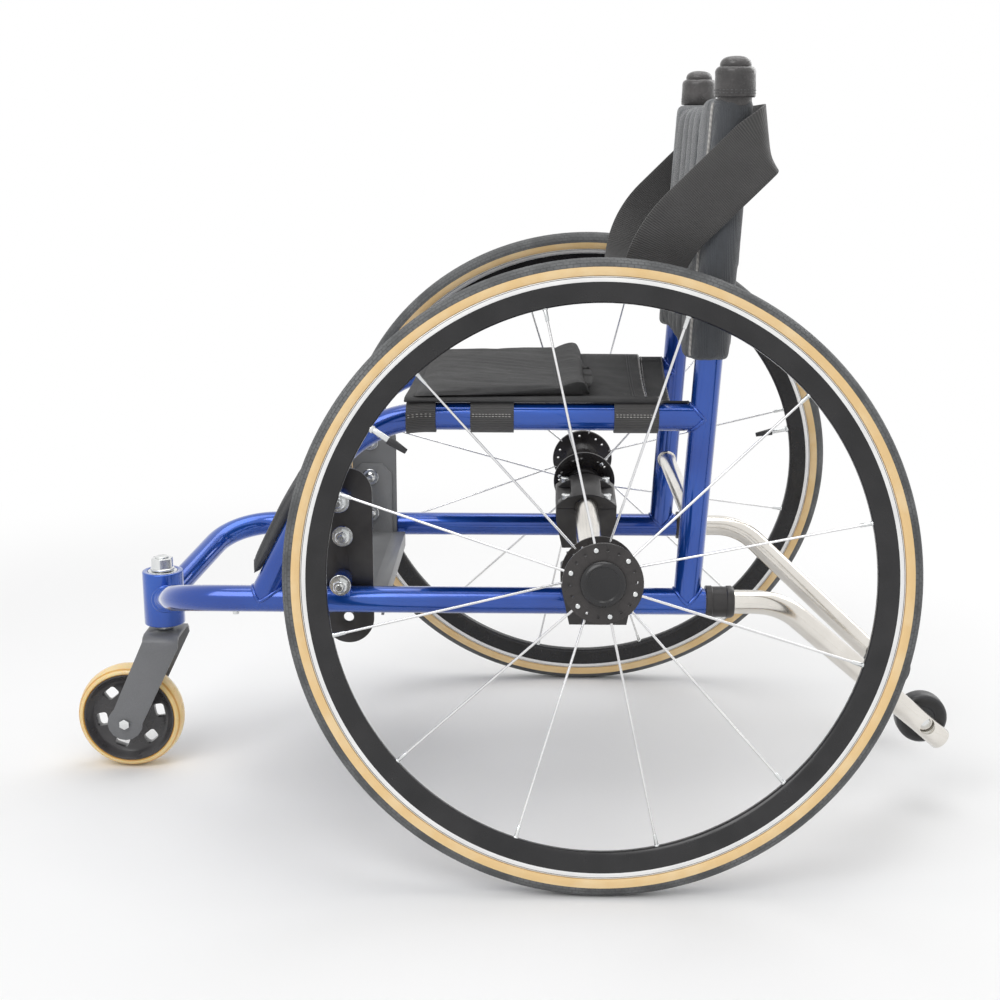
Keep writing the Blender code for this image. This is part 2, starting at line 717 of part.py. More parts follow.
def build_frame(chair, looks):
    """The welded frame: lower rails, seat rails with front legs, back posts and caster housing."""
    for side_name, side in SIDES.items():
        y = side * FRAME_HALF_WIDTH
        rail_axis = [
            (RAIL_REAR_X, y, LOWER_RAIL_HEIGHT),
            (RAIL_FRONT_CORNER_X, y, LOWER_RAIL_HEIGHT),
            (HOUSING_X, 0.0, RAIL_END_HEIGHT),
        ]
        rail = place(
            f"lower_rail_{side_name}",
            tube_mesh("lower rail", route(rail_axis, [RAIL_FRONT_BEND]), TUBE_RADIUS),
            looks["blue"], chair,
        )
        fuse(rail, lug_mesh(side, BOLT_HEIGHTS["low"], None))
        cut(
            rail,
            bar_mesh(
                "housing seat", (HOUSING_X, 0.0, HOUSING_BOTTOM - CUTTER_MARGIN),
                (HOUSING_X, 0.0, HOUSING_TOP + CUTTER_MARGIN), HOUSING_RADIUS + TOUCH_GAP,
            ),
            bar_mesh(
                "anti-tip socket", (RAIL_REAR_X + CUTTER_MARGIN, y, LOWER_RAIL_HEIGHT),
                (RAIL_REAR_X - ANTI_TIP_INSERT - RUNNING_GAP, y, LOWER_RAIL_HEIGHT),
                ANTI_TIP_RADIUS + TOUCH_GAP,
            ),
            bolt_hole(side, BOLT_HEIGHTS["low"]),
        )
        rail_cope = ((-0.5, y, LOWER_RAIL_HEIGHT), (0.2, y, LOWER_RAIL_HEIGHT))
        post_foot = (post_x(0.2), y, 0.2)
        post_head = (post_x(0.9), y, 0.9)
        corner_x = leg_x(SEAT_RAIL_HEIGHT)
        seat_axis = [
            (LEG_FOOT_X, y, LOWER_RAIL_HEIGHT),
            (corner_x, y, SEAT_RAIL_HEIGHT),
            (post_x(SEAT_RAIL_HEIGHT), y, SEAT_RAIL_HEIGHT),
        ]
        seat_rail = place(
            f"seat_rail_{side_name}",
            tube_mesh("seat rail", route(seat_axis, [LEG_BEND]), TUBE_RADIUS),
            looks["blue"], chair,
        )
        fuse(seat_rail, lug_mesh(side, BOLT_HEIGHTS["top"], leg_x(BOLT_HEIGHTS["top"])))
        cut(
            seat_rail,
            bar_mesh("leg cope", *rail_cope, TUBE_RADIUS + TOUCH_GAP),
            bar_mesh("post cope", post_foot, post_head, TUBE_RADIUS + TOUCH_GAP),
            bolt_hole(side, BOLT_HEIGHTS["top"]),
        )
        post_axis = [
            (post_x(LOWER_RAIL_HEIGHT), y, LOWER_RAIL_HEIGHT),
            (post_x(POST_TOP_HEIGHT), y, POST_TOP_HEIGHT),
        ]
        post = place(
            f"back_post_{side_name}", tube_mesh("back post", post_axis, TUBE_RADIUS),
            looks["blue"], chair,
        )
        cut(post, bar_mesh("rail cope", *rail_cope, TUBE_RADIUS + TOUCH_GAP))
    brace_x = post_x(BRACE_HEIGHT)
    brace = place(
        "brace_tube",
        tube_mesh(
            "brace", [
                (brace_x, -FRAME_HALF_WIDTH, BRACE_HEIGHT),
                (brace_x, FRAME_HALF_WIDTH, BRACE_HEIGHT),
            ], BRACE_RADIUS,
        ),
        looks["polished"], chair,
    )
    for side in SIDES.values():
        y = side * FRAME_HALF_WIDTH
        cut(brace, bar_mesh("brace cope", (post_x(0.2), y, 0.2), (post_x(0.9), y, 0.9), TUBE_RADIUS + TOUCH_GAP))


def build_caster(chair, looks):
    """Housing with two bearings, a stem and fork that swivel, and the front wheel."""
    bore = STEM_RADIUS + 0.004
    seat = BEARING_RADIUS + TOUCH_GAP
    step = BEARING_HEIGHT + TOUCH_GAP
    at_housing = Matrix.Translation((HOUSING_X, 0.0, 0.0))
    housing = turned_mesh("housing", [
        (HOUSING_RADIUS, HOUSING_BOTTOM),
        (HOUSING_RADIUS, HOUSING_TOP),
        (seat, HOUSING_TOP),
        (seat, HOUSING_TOP - step),
        (bore, HOUSING_TOP - step),
        (bore, HOUSING_BOTTOM + step),
        (seat, HOUSING_BOTTOM + step),
        (seat, HOUSING_BOTTOM),
    ], ROUND_SIDES, at_housing)
    place("caster_housing", housing, looks["blue"], chair)
    for place_name, low in (("lower", HOUSING_BOTTOM), ("upper", HOUSING_TOP - BEARING_HEIGHT)):
        bearing = turned_mesh("bearing", [
            (BEARING_RADIUS, low),
            (BEARING_RADIUS, low + BEARING_HEIGHT),
            (STEM_RADIUS + TOUCH_GAP, low + BEARING_HEIGHT),
            (STEM_RADIUS + TOUCH_GAP, low),
        ], ROUND_SIDES, at_housing)
        place(f"caster_bearing_{place_name}", bearing, looks["steel"], chair)

    swivel = bpy.data.objects.new("caster_swivel_axis", None)
    bpy.context.scene.collection.objects.link(swivel)
    swivel.parent = chair
    swivel.location = (HOUSING_X, 0.0, 0.0)
    fork_floor = FORK_TOP_HEIGHT + TOUCH_GAP
    nut_floor = HOUSING_TOP + RUNNING_GAP
    stem_top = nut_floor + STEM_WASHER_HEIGHT + STEM_NUT_HEIGHT + 0.002
    stem = turned_mesh("stem", [
        (0.0, fork_floor - FORK_THICKNESS - 0.004),
        (CASTER_BOLT_RADIUS, fork_floor - FORK_THICKNESS - 0.004),
        (CASTER_BOLT_RADIUS, fork_floor),
        (STEM_COLLAR_RADIUS, fork_floor),
        (STEM_COLLAR_RADIUS, HOUSING_BOTTOM - RUNNING_GAP),
        (STEM_RADIUS, HOUSING_BOTTOM - RUNNING_GAP),
        (STEM_RADIUS, stem_top),
        (0.0, stem_top),
    ], ROUND_SIDES)
    place("caster_stem", stem, looks["steel"], swivel)
    nut_bore = STEM_RADIUS + TOUCH_GAP
    washer = turned_mesh("stem washer", [
        (nut_bore, nut_floor),
        (STEM_WASHER_RADIUS, nut_floor),
        (STEM_WASHER_RADIUS, nut_floor + STEM_WASHER_HEIGHT),
        (nut_bore, nut_floor + STEM_WASHER_HEIGHT),
    ], ROUND_SIDES)
    nut = bar_mesh(
        "stem nut", (0.0, 0.0, nut_floor + STEM_WASHER_HEIGHT / 2),
        (0.0, 0.0, nut_floor + STEM_WASHER_HEIGHT + STEM_NUT_HEIGHT), STEM_NUT_RADIUS, 6,
    )
    stem_nut = place("stem_nut", washer, looks["steel"], swivel)
    fuse(stem_nut, nut)
    cut(stem_nut, bar_mesh(
        "nut bore", (0.0, 0.0, nut_floor - CUTTER_MARGIN), (0.0, 0.0, stem_top + CUTTER_MARGIN), nut_bore,
    ))
    build_fork(swivel, looks)
    build_caster_wheel(swivel, looks)


def build_fork(swivel, looks):
    """One sheet folded into a top plate and two blades that lean forward to the axle."""
    half = FORK_HALF_WIDTH
    top = FORK_TOP_HEIGHT
    blade_lean = CASTER_TRAIL / (top - FORK_BEND - CASTER_RADIUS)
    bend_floor = top - FORK_BEND
    end_radius = FORK_BLADE_WIDTH / 2
    outer = [
        (-half, CASTER_RADIUS), *arc((-half + FORK_BEND, bend_floor), FORK_BEND, math.pi, math.pi / 2, 3),
        *arc((half - FORK_BEND, bend_floor), FORK_BEND, math.pi / 2, 0.0, 3), (half, CASTER_RADIUS),
    ]
    thin = FORK_THICKNESS
    inner = [
        (half - thin, CASTER_RADIUS),
        *arc((half - FORK_BEND, bend_floor), FORK_BEND - thin, 0.0, math.pi / 2, 3),
        *arc((-half + FORK_BEND, bend_floor), FORK_BEND - thin, math.pi / 2, math.pi, 3),
        (-half + thin, CASTER_RADIUS),
    ]

    def swept(point, edge):
        """Move a cross-section point to the sheet's front or rear edge at its height."""
        y, z = point
        forward = blade_lean * max(0.0, bend_floor - z)
        return Vector((edge * FORK_BLADE_WIDTH / 2 - forward, y, z))

    outline = outer + inner
    front = [swept(point, -1.0) for point in outline]
    rear = [swept(point, 1.0) for point in outline]
    fork = place("caster_fork", lofted_mesh("fork", [front, rear]), looks["dark_grey"], swivel)
    for side in SIDES.values():
        inside, outside = side * (half - thin), side * half
        eye = bar_mesh(
            "blade end", (-CASTER_TRAIL, inside, CASTER_RADIUS), (-CASTER_TRAIL, outside, CASTER_RADIUS),
            end_radius,
        )
        fuse(fork, eye)
    hole = CASTER_BOLT_RADIUS + TOUCH_GAP
    cut(
        fork,
        bar_mesh("stem hole", (0.0, 0.0, top - 0.02), (0.0, 0.0, top + 0.02), hole),
        bar_mesh(
            "axle hole", (-CASTER_TRAIL, -half - CUTTER_MARGIN, CASTER_RADIUS),
            (-CASTER_TRAIL, half + CUTTER_MARGIN, CASTER_RADIUS), hole,
        ),
    )
    bolt_end = half + TOUCH_GAP
    shaft_end = bolt_end + BOLT_HEAD_HEIGHT / 2
    shaft = bar_mesh(
        "caster axle", (-CASTER_TRAIL, -shaft_end, CASTER_RADIUS),
        (-CASTER_TRAIL, shaft_end, CASTER_RADIUS), CASTER_BOLT_RADIUS, 16,
    )
    bolt = place("caster_axle_bolt", shaft, looks["steel"], swivel)
    for side in SIDES.values():
        fuse(bolt, bar_mesh(
            "bolt head", (-CASTER_TRAIL, side * bolt_end, CASTER_RADIUS),
            (-CASTER_TRAIL, side * (bolt_end + BOLT_HEAD_HEIGHT), CASTER_RADIUS), BOLT_HEAD_RADIUS, 6,
        ))


def build_caster_wheel(swivel, looks):
    """A polyurethane tyre on a dished hub with windows in its web."""
    axis = bpy.data.objects.new("caster_wheel_axis", None)
    bpy.context.scene.collection.objects.link(axis)
    axis.parent = swivel
    axis.location = (-CASTER_TRAIL, 0.0, CASTER_RADIUS)
    axis.rotation_euler = (math.pi / 2, 0.0, 0.0)
    crown = CASTER_RADIUS - 0.0045
    shoulder = CASTER_RADIUS - 0.001
    width = CASTER_HALF_WIDTH
    tyre = turned_mesh("caster tyre", [
        (CASTER_TYRE_INNER, -width + 0.001),
        (crown - 0.003, -width),
        (crown, -width + 0.002),
        (shoulder, -width / 2),
        (CASTER_RADIUS, 0.0),
        (shoulder, width / 2),
        (crown, width - 0.002),
        (crown - 0.003, width),
        (CASTER_TYRE_INNER, width - 0.001),
    ], CASTER_SEGMENTS)
    place("caster_tyre", tyre, looks["amber"], axis)
    rim_outer = CASTER_TYRE_INNER - TOUCH_GAP
    rim_inner = rim_outer - CASTER_RIM_WALL
    boss = FORK_HALF_WIDTH - FORK_THICKNESS - RUNNING_GAP / 2
    bore = CASTER_BOLT_RADIUS + TOUCH_GAP
    web = CASTER_WEB_HALF
    hub = turned_mesh("caster hub", [
        (bore, -boss),
        (bore, boss),
        (CASTER_BOSS_RADIUS - 0.003, boss),
        (CASTER_BOSS_RADIUS, web + 0.006),
        (CASTER_BOSS_RADIUS + 0.006, web),
        (rim_inner - 0.003, web),
        (rim_inner, width - 0.001),
        (rim_outer, width - 0.001),
        (rim_outer, -width + 0.001),
        (rim_inner, -width + 0.001),
        (rim_inner - 0.003, -web),
        (CASTER_BOSS_RADIUS + 0.006, -web),
        (CASTER_BOSS_RADIUS, -web - 0.006),
        (CASTER_BOSS_RADIUS - 0.003, -boss),
    ], CASTER_SEGMENTS)
    caster_hub = place("caster_hub", hub, looks["black"], axis)
    for index in range(CASTER_WINDOW_COUNT):
        turn = Matrix.Rotation(math.tau * (index + 0.5) / CASTER_WINDOW_COUNT, 4, "Z")
        cut(caster_hub, box_mesh(
            "hub window",
            (CASTER_WINDOW_CIRCLE - CASTER_WINDOW_HEIGHT / 2, -CASTER_WINDOW_LENGTH / 2, -0.02),
            (CASTER_WINDOW_CIRCLE + CASTER_WINDOW_HEIGHT / 2, CASTER_WINDOW_LENGTH / 2, 0.02),
            turn,
        ))


def build_foot_rest(chair, looks):
    """Side plates bolted to the frame's lugs, and the folded foot plate between them."""
    plate_outer = FRAME_HALF_WIDTH - TUBE_RADIUS - TOUCH_GAP
    plate_inner = plate_outer - PLATE_THICKNESS
    flange_outer = plate_inner - TOUCH_GAP
    flange_inner = flange_outer - FOOTREST_THICKNESS
    outline = arc((PLATE_X, PLATE_TOP - PLATE_HALF_WIDTH), PLATE_HALF_WIDTH, 0.0, math.pi, 8)
    outline += arc((PLATE_X, PLATE_BOTTOM + PLATE_HALF_WIDTH), PLATE_HALF_WIDTH, math.pi, math.tau, 8)
    for side_name, side in SIDES.items():
        base = max(side * plate_inner, side * plate_outer)
        plate = place(
            f"footrest_plate_{side_name}",
            extruded_mesh("side plate", outline, PLATE_THICKNESS, upright_frame(base)),
            looks["black"], chair,
        )
        holes = [bolt_hole(side, height) for height in BOLT_HEIGHTS.values()]
        open_hole = bar_mesh(
            "open hole", (PLATE_X, side * (plate_inner - CUTTER_MARGIN), PLATE_HOLE_HEIGHT),
            (PLATE_X, side * (plate_outer + CUTTER_MARGIN), PLATE_HOLE_HEIGHT), PLATE_HOLE_RADIUS,
            SMALL_SIDES,
        )
        cut(plate, open_hole, *holes)
        for name, height in BOLT_HEIGHTS.items():
            head_seat = flange_inner if height < FLANGE_TOP else plate_inner
            if name == "mid":
                nut_seat = plate_outer + TOUCH_GAP
            else:
                nut_seat = FRAME_HALF_WIDTH + LUG_OUTER_REACH + TOUCH_GAP
            build_bolt(f"foot_bolt_{name}_{side_name}", side, height, head_seat - TOUCH_GAP, nut_seat, chair, looks)
    top = FOOTREST_TOP
    under = top - FOOTREST_THICKNESS
    tread = place("footrest", box_mesh(
        "foot plate", (FOOTREST_FRONT_X, -flange_outer, under), (FOOTREST_REAR_X, flange_outer, top),
    ), looks["dark_grey"], chair)
    lip = box_mesh(
        "rear lip",
        (FOOTREST_REAR_X - FOOTREST_THICKNESS, -flange_outer, top - FOOTREST_LIP),
        (FOOTREST_REAR_X, flange_outer, top),
    )
    flange_outline = [
        (FLANGE_FRONT_X, under), (FLANGE_REAR_X, under), (FLANGE_REAR_X, FLANGE_TOP - 0.012),
        (FLANGE_REAR_X - 0.012, FLANGE_TOP), (FLANGE_FRONT_X + 0.012, FLANGE_TOP),
        (FLANGE_FRONT_X, FLANGE_TOP - 0.012),
    ]
    sides = []
    for side in SIDES.values():
        base = max(side * flange_inner, side * flange_outer)
        sides.append(extruded_mesh("side flange", flange_outline, FOOTREST_THICKNESS, upright_frame(base)))
    fuse(tread, lip, *sides)
    for side in SIDES.values():
        for name in ("low", "mid"):
            cut(tread, bolt_hole(side, BOLT_HEIGHTS[name]))


def build_bolt(name, side, height, head_seat, nut_seat, chair, looks):
    """A bolt from inside to outside: domed head, shaft, washer and nut as one piece."""
    head_end = head_seat - BOLT_HEAD_HEIGHT
    washer_end = nut_seat + WASHER_HEIGHT
    nut_end = washer_end + NUT_HEIGHT

    def bar(first, second, radius, sides):
        return bar_mesh(
            "bolt part", (BOLT_X, side * first, height), (BOLT_X, side * second, height), radius, sides,
        )

    bolt = place(name, bar(head_seat - 0.001, nut_end + 0.003, BOLT_RADIUS, 8), looks["steel"], chair)
    fuse(
        bolt,
        bar(head_end, head_seat, BOLT_HEAD_RADIUS, 8),
        bar(nut_seat, washer_end, WASHER_RADIUS, 14),
        bar(washer_end - 0.0005, nut_end, NUT_RADIUS, 6),
    )


def build_leg_strap(chair, looks):
    """A padded panel across the front of the legs."""
    lean = Vector((math.cos(LEG_ANGLE), 0.0, math.sin(LEG_ANGLE)))
    ahead = Vector((-math.sin(LEG_ANGLE), 0.0, math.cos(LEG_ANGLE)))
    foot = Vector((LEG_FOOT_X, 0.0, LOWER_RAIL_HEIGHT))
    back = TUBE_RADIUS + TOUCH_GAP
    half = STRAP_PANEL_THICKNESS / 2
    rings = []
    count = 7
    for step in range(count):
        share = step / (count - 1)
        along = STRAP_PANEL_LOW + (STRAP_PANEL_HIGH - STRAP_PANEL_LOW) * share
        edge = 0.35 if step in (0, count - 1) else 1.0
        ring = []
        for index in range(24):
            angle = math.tau * index / 24
            wide = math.copysign(abs(math.cos(angle)) ** 0.2, math.cos(angle)) * STRAP_PANEL_HALF_WIDTH
            bulge = 0.6 if math.sin(angle) > 0.0 else 0.2
            deep = math.copysign(abs(math.sin(angle)) ** bulge, math.sin(angle)) * half * edge
            ring.append(foot + lean * along + ahead * (back + half + deep) + Vector((0.0, wide, 0.0)))
        rings.append(ring)
    place("leg_strap", lofted_mesh("leg strap", rings), looks["cloth"], chair)


def seat_rail_axis(x):
    """Height of a seat rail's axis, level but for the start of its front bend."""
    bend_start = leg_x(SEAT_RAIL_HEIGHT) + LEG_BEND * math.tan(LEG_ANGLE / 2)
    ahead = max(0.0, bend_start - x)
    return SEAT_RAIL_HEIGHT - LEG_BEND + math.sqrt(LEG_BEND ** 2 - ahead ** 2)


def seat_sag(x):
    """How far the sling's middle hangs below its edges at this place along the seat."""
    share = max(0.0, (x - SLING_FRONT_X) / (REAR_PANEL_X[1] - SLING_FRONT_X))
    return SLING_FRONT_SAG + (SLING_REAR_SAG - SLING_FRONT_SAG) * share ** 1.5


def hang(x, y, base):
    """Height of a layer of the seat that hangs between the rails."""
    span = FRAME_HALF_WIDTH - SEAT_CONTACT
    share = min(1.0, abs(y) / span)
    return base - seat_sag(x) * (1.0 - share ** 2)


def seat_stations(edge):
    """Places across the seat that all its layers share, closed by this layer's own edge."""
    span = FRAME_HALF_WIDTH - SEAT_CONTACT
    inner = [span * (2 * index / SEAT_STEPS_ACROSS - 1) for index in range(SEAT_STEPS_ACROSS + 1)]
    return [-edge, *inner, edge]


def seat_strap_row(x):
    """One line of webbing across the seat: round one rail, over to the other and round it."""
    outer = TUBE_RADIUS + SEAT_STRAP_GAP + SEAT_STRAP_THICKNESS
    centre = seat_rail_axis(x)
    loop = [
        (outer * math.cos(angle), centre + outer * math.sin(angle))
        for angle in (math.radians(-150.0 + 240.0 * step / 9) for step in range(10))
    ]
    near = [Vector((x, -FRAME_HALF_WIDTH - y, z)) for y, z in loop]
    across = [
        Vector((x, y, hang(x, y, centre + outer))) for y in seat_stations(0.0)[1:-1]
    ]
    far = [Vector((x, FRAME_HALF_WIDTH + y, z)) for y, z in reversed(loop)]
    return near + across + far


def build_seat(chair, looks):
    """Webbing looped round both rails, the sling on it and the padded front layer."""
    for name, (front, rear) in SEAT_STRAPS.items():
        rows = [seat_strap_row(front), seat_strap_row(rear)]
        webbing = surface_mesh(f"webbing {name}", rows, SEAT_STRAP_THICKNESS)
        place(f"seat_strap_{name}", webbing, looks["webbing"], chair)

    webbing_top = SEAT_RAIL_HEIGHT + TUBE_RADIUS + SEAT_STRAP_GAP + SEAT_STRAP_THICKNESS
    base = webbing_top + SEAT_LAYER_GAP + SLING_THICKNESS
    half = FRAME_HALF_WIDTH + SLING_OVERHANG
    rows = []
    for step in range(9):
        x = SLING_FRONT_X + (SLING_REAR_X - SLING_FRONT_X) * step / 8
        rows.append([Vector((x, y, hang(x, y, base))) for y in seat_stations(half)])
    place("seat_sling", surface_mesh("sling", rows, SLING_THICKNESS), looks["cloth"], chair)

    build_seat_pad(base + PAD_GAP, half - PAD_SET_IN, chair, looks)
    build_rear_panel(chair, looks)


def build_seat_pad(floor, edge, chair, looks):
    """The padded front layer: thin at its front, with a ridge along its rear edge."""
    rings = []
    for step in range(PAD_STEPS + 1):
        share = step / PAD_STEPS
        x = PAD_FRONT_X + (PAD_REAR_X - PAD_FRONT_X) * share
        swell = PAD_FRONT_THICKNESS + (PAD_REAR_THICKNESS - PAD_FRONT_THICKNESS) * share
        if step == PAD_STEPS - 1:
            swell += PAD_RIDGE
        if step in (0, PAD_STEPS):
            swell *= 0.3
        top_row = []
        low_row = []
        for y in seat_stations(edge - PAD_REAR_SET_IN * share ** 2):
            fullness = (1.0 - min(1.0, abs(y) / edge) ** 8) ** 0.5
            low = hang(x, y, floor)
            top_row.append(Vector((x, y, low + swell * (0.3 + 0.7 * fullness))))
            low_row.append(Vector((x, y, low)))
        rings.append(top_row + list(reversed(low_row)))
    place("seat_pad", lofted_mesh("seat pad", rings), looks["cloth"], chair)


def build_rear_panel(chair, looks):
    """A strip of cloth that hangs between the seat rails in front of the posts."""
    reach = TUBE_RADIUS + SLING_THICKNESS + REAR_PANEL_GAP
    wrap = [
        (FRAME_HALF_WIDTH - reach * math.sin(angle), SEAT_RAIL_HEIGHT + reach * math.cos(angle))
        for angle in (math.radians(15.0 * step) for step in range(4))
    ]
    edge, top = wrap[-1]
    rows = []
    for x in REAR_PANEL_X:
        near = [Vector((x, -y, z)) for y, z in wrap]
        across = []
        for step in range(1, SEAT_STEPS_ACROSS):
            share = 2 * step / SEAT_STEPS_ACROSS - 1
            across.append(Vector((x, edge * share, top - seat_sag(x) * (1.0 - share ** 2))))
        far = [Vector((x, y, z)) for y, z in reversed(wrap)]
        rows.append(near + across + far)
    panel = surface_mesh("rear panel", rows, SLING_THICKNESS)
    place("seat_rear_panel", panel, looks["cloth"], chair)


def build_back(chair, looks):
    """Padded upholstery that sleeves over both posts, and the domed caps above it."""
    count = 9
    section = back_section()
    rings = []
    for step in range(count):
        share = step / (count - 1)
        height = BACK_BOTTOM + (BACK_TOP - BACK_BOTTOM) * share
        centre = post_x(height)
        rings.append([
            Vector((centre + x, y, height)) for x, y in section
        ])
    back = place("back_upholstery", lofted_mesh("back", rings), looks["back_cloth"], chair)
    for side_name, side in SIDES.items():
        y = side * FRAME_HALF_WIDTH
        cut(back, bar_mesh(
            "sleeve bore", (post_x(0.4), y, 0.4), (post_x(0.9), y, 0.9), TUBE_RADIUS + 2 * TOUCH_GAP,
        ))
        floor = BACK_TOP + TOUCH_GAP
        profile = [(0.0, floor), (CAP_RADIUS, floor)]
        height = CAP_TOP - floor
        for step in range(1, 5):
            angle = math.radians(90.0 * step / 5)
            profile.append((CAP_RADIUS * math.cos(angle) ** 0.6, floor + height * (0.35 + 0.65 * math.sin(angle))))
        profile.append((0.0, CAP_TOP))
        over_post = Matrix.Translation((post_x(POST_TOP_HEIGHT), y, 0.0))
        cap_mesh = turned_mesh("cap", profile, CAP_SEGMENTS, over_post)
        cap = place(f"post_cap_{side_name}", cap_mesh, looks["leather"], chair)
        top = POST_TOP_HEIGHT + CAP_BORE_GAP
        cut(cap, bar_mesh("cap bore", (post_x(0.7), y, 0.7), (post_x(top), y, top), TUBE_RADIUS + CAP_BORE_GAP))


def sleeve_arc(side):
    """The rounded outer end of the upholstery about one post, from its front or its rear."""
    start = -math.pi if side < 0.0 else 0.0
    return [
        (SLEEVE_HALF_DEPTH * x, side * FRAME_HALF_WIDTH + SLEEVE_HALF_WIDTH * y)
        for x, y in arc((0.0, 0.0), 1.0, start, start + math.pi, 8)
    ]


def back_section():
    """Outline of the upholstery at one height: sleeves at the posts and a channelled pad between."""
    half = FRAME_HALF_WIDTH
    front = []
    lanes = 4 * BACK_CHANNELS
    for index in range(1, lanes):
        across = 2 * index / lanes - 1
        ripple = BACK_CHANNEL_DEPTH * abs(math.sin(math.pi * BACK_CHANNELS * index / lanes))
        sag = BACK_SAG * (1.0 - across ** 2)
        swell = BACK_PAD_DEPTH * 0.55 * (1.0 - across ** 2)
        front.append((sag - SLEEVE_HALF_DEPTH - swell - ripple, -half * across))
    rear = []
    for index in range(1, 8):
        across = 2 * index / 8 - 1
        sag = BACK_SAG * (1.0 - across ** 2)
        rear.append((SLEEVE_HALF_DEPTH * 0.5 + sag, half * across))
    return front + sleeve_arc(-1.0) + rear + sleeve_arc(1.0)


def build_belt(chair, looks):
    """A closed loop of webbing behind the back, down both sides and low across the front."""
    half = FRAME_HALF_WIDTH + SLEEVE_HALF_WIDTH + BELT_SLEEVE_GAP + BELT_THICKNESS
    back_x, back_height = BELT_BACK
    knee_x, knee_height = BELT_KNEE
    corners = [
        (back_x, 0.0, back_height),
        (back_x, half, back_height),
        (knee_x, half, knee_height),
        (BELT_DROP_X, BELT_DROP_HALF_WIDTH, BELT_DROP_HEIGHT),
        (BELT_DROP_X, 0.0, BELT_DROP_HEIGHT - BELT_SAG),
    ]
    points = route(corners, BELT_BENDS)
    rows = []
    for before, point, after in zip([points[0], *points], points, [*points[1:], points[-1]]):
        along = (after - before).normalized()
        upright = point.x > (back_x + knee_x) / 2
        lean = Vector((-0.13, 0.0, 1.0) if upright else (-1.0, 0.0, 0.2))
        wide = (lean - along * lean.dot(along)).normalized()
        rows.append([point + wide * BELT_WIDTH * share for share in (-0.5, 0.5)])
    mirrored = [[Vector((spot.x, -spot.y, spot.z)) for spot in row] for row in reversed(rows)]
    loop = rows + mirrored[1:-1]
    place("belt", surface_mesh("belt", loop, BELT_THICKNESS, closed=True), looks["webbing"], chair)


def anti_tip_axis(side):
    """The tube's corner point and the unit direction of its sloping run."""
    corner = Vector((ANTI_TIP_CORNER_X, side * FRAME_HALF_WIDTH, LOWER_RAIL_HEIGHT))
    slope = Vector((
        math.cos(ANTI_TIP_BEND),
        -side * math.sin(ANTI_TIP_BEND) * math.sin(ANTI_TIP_ROLL),
        -math.sin(ANTI_TIP_BEND) * math.cos(ANTI_TIP_ROLL),
    ))
    return corner, slope


def anti_tip_hub(side):
    """The point of the tube where its wheel's axle crosses."""
    corner, slope = anti_tip_axis(side)
    return corner + slope * ANTI_TIP_AXLE_REACH + Vector((0.0, 0.0, ANTI_TIP_AXLE_RISE))


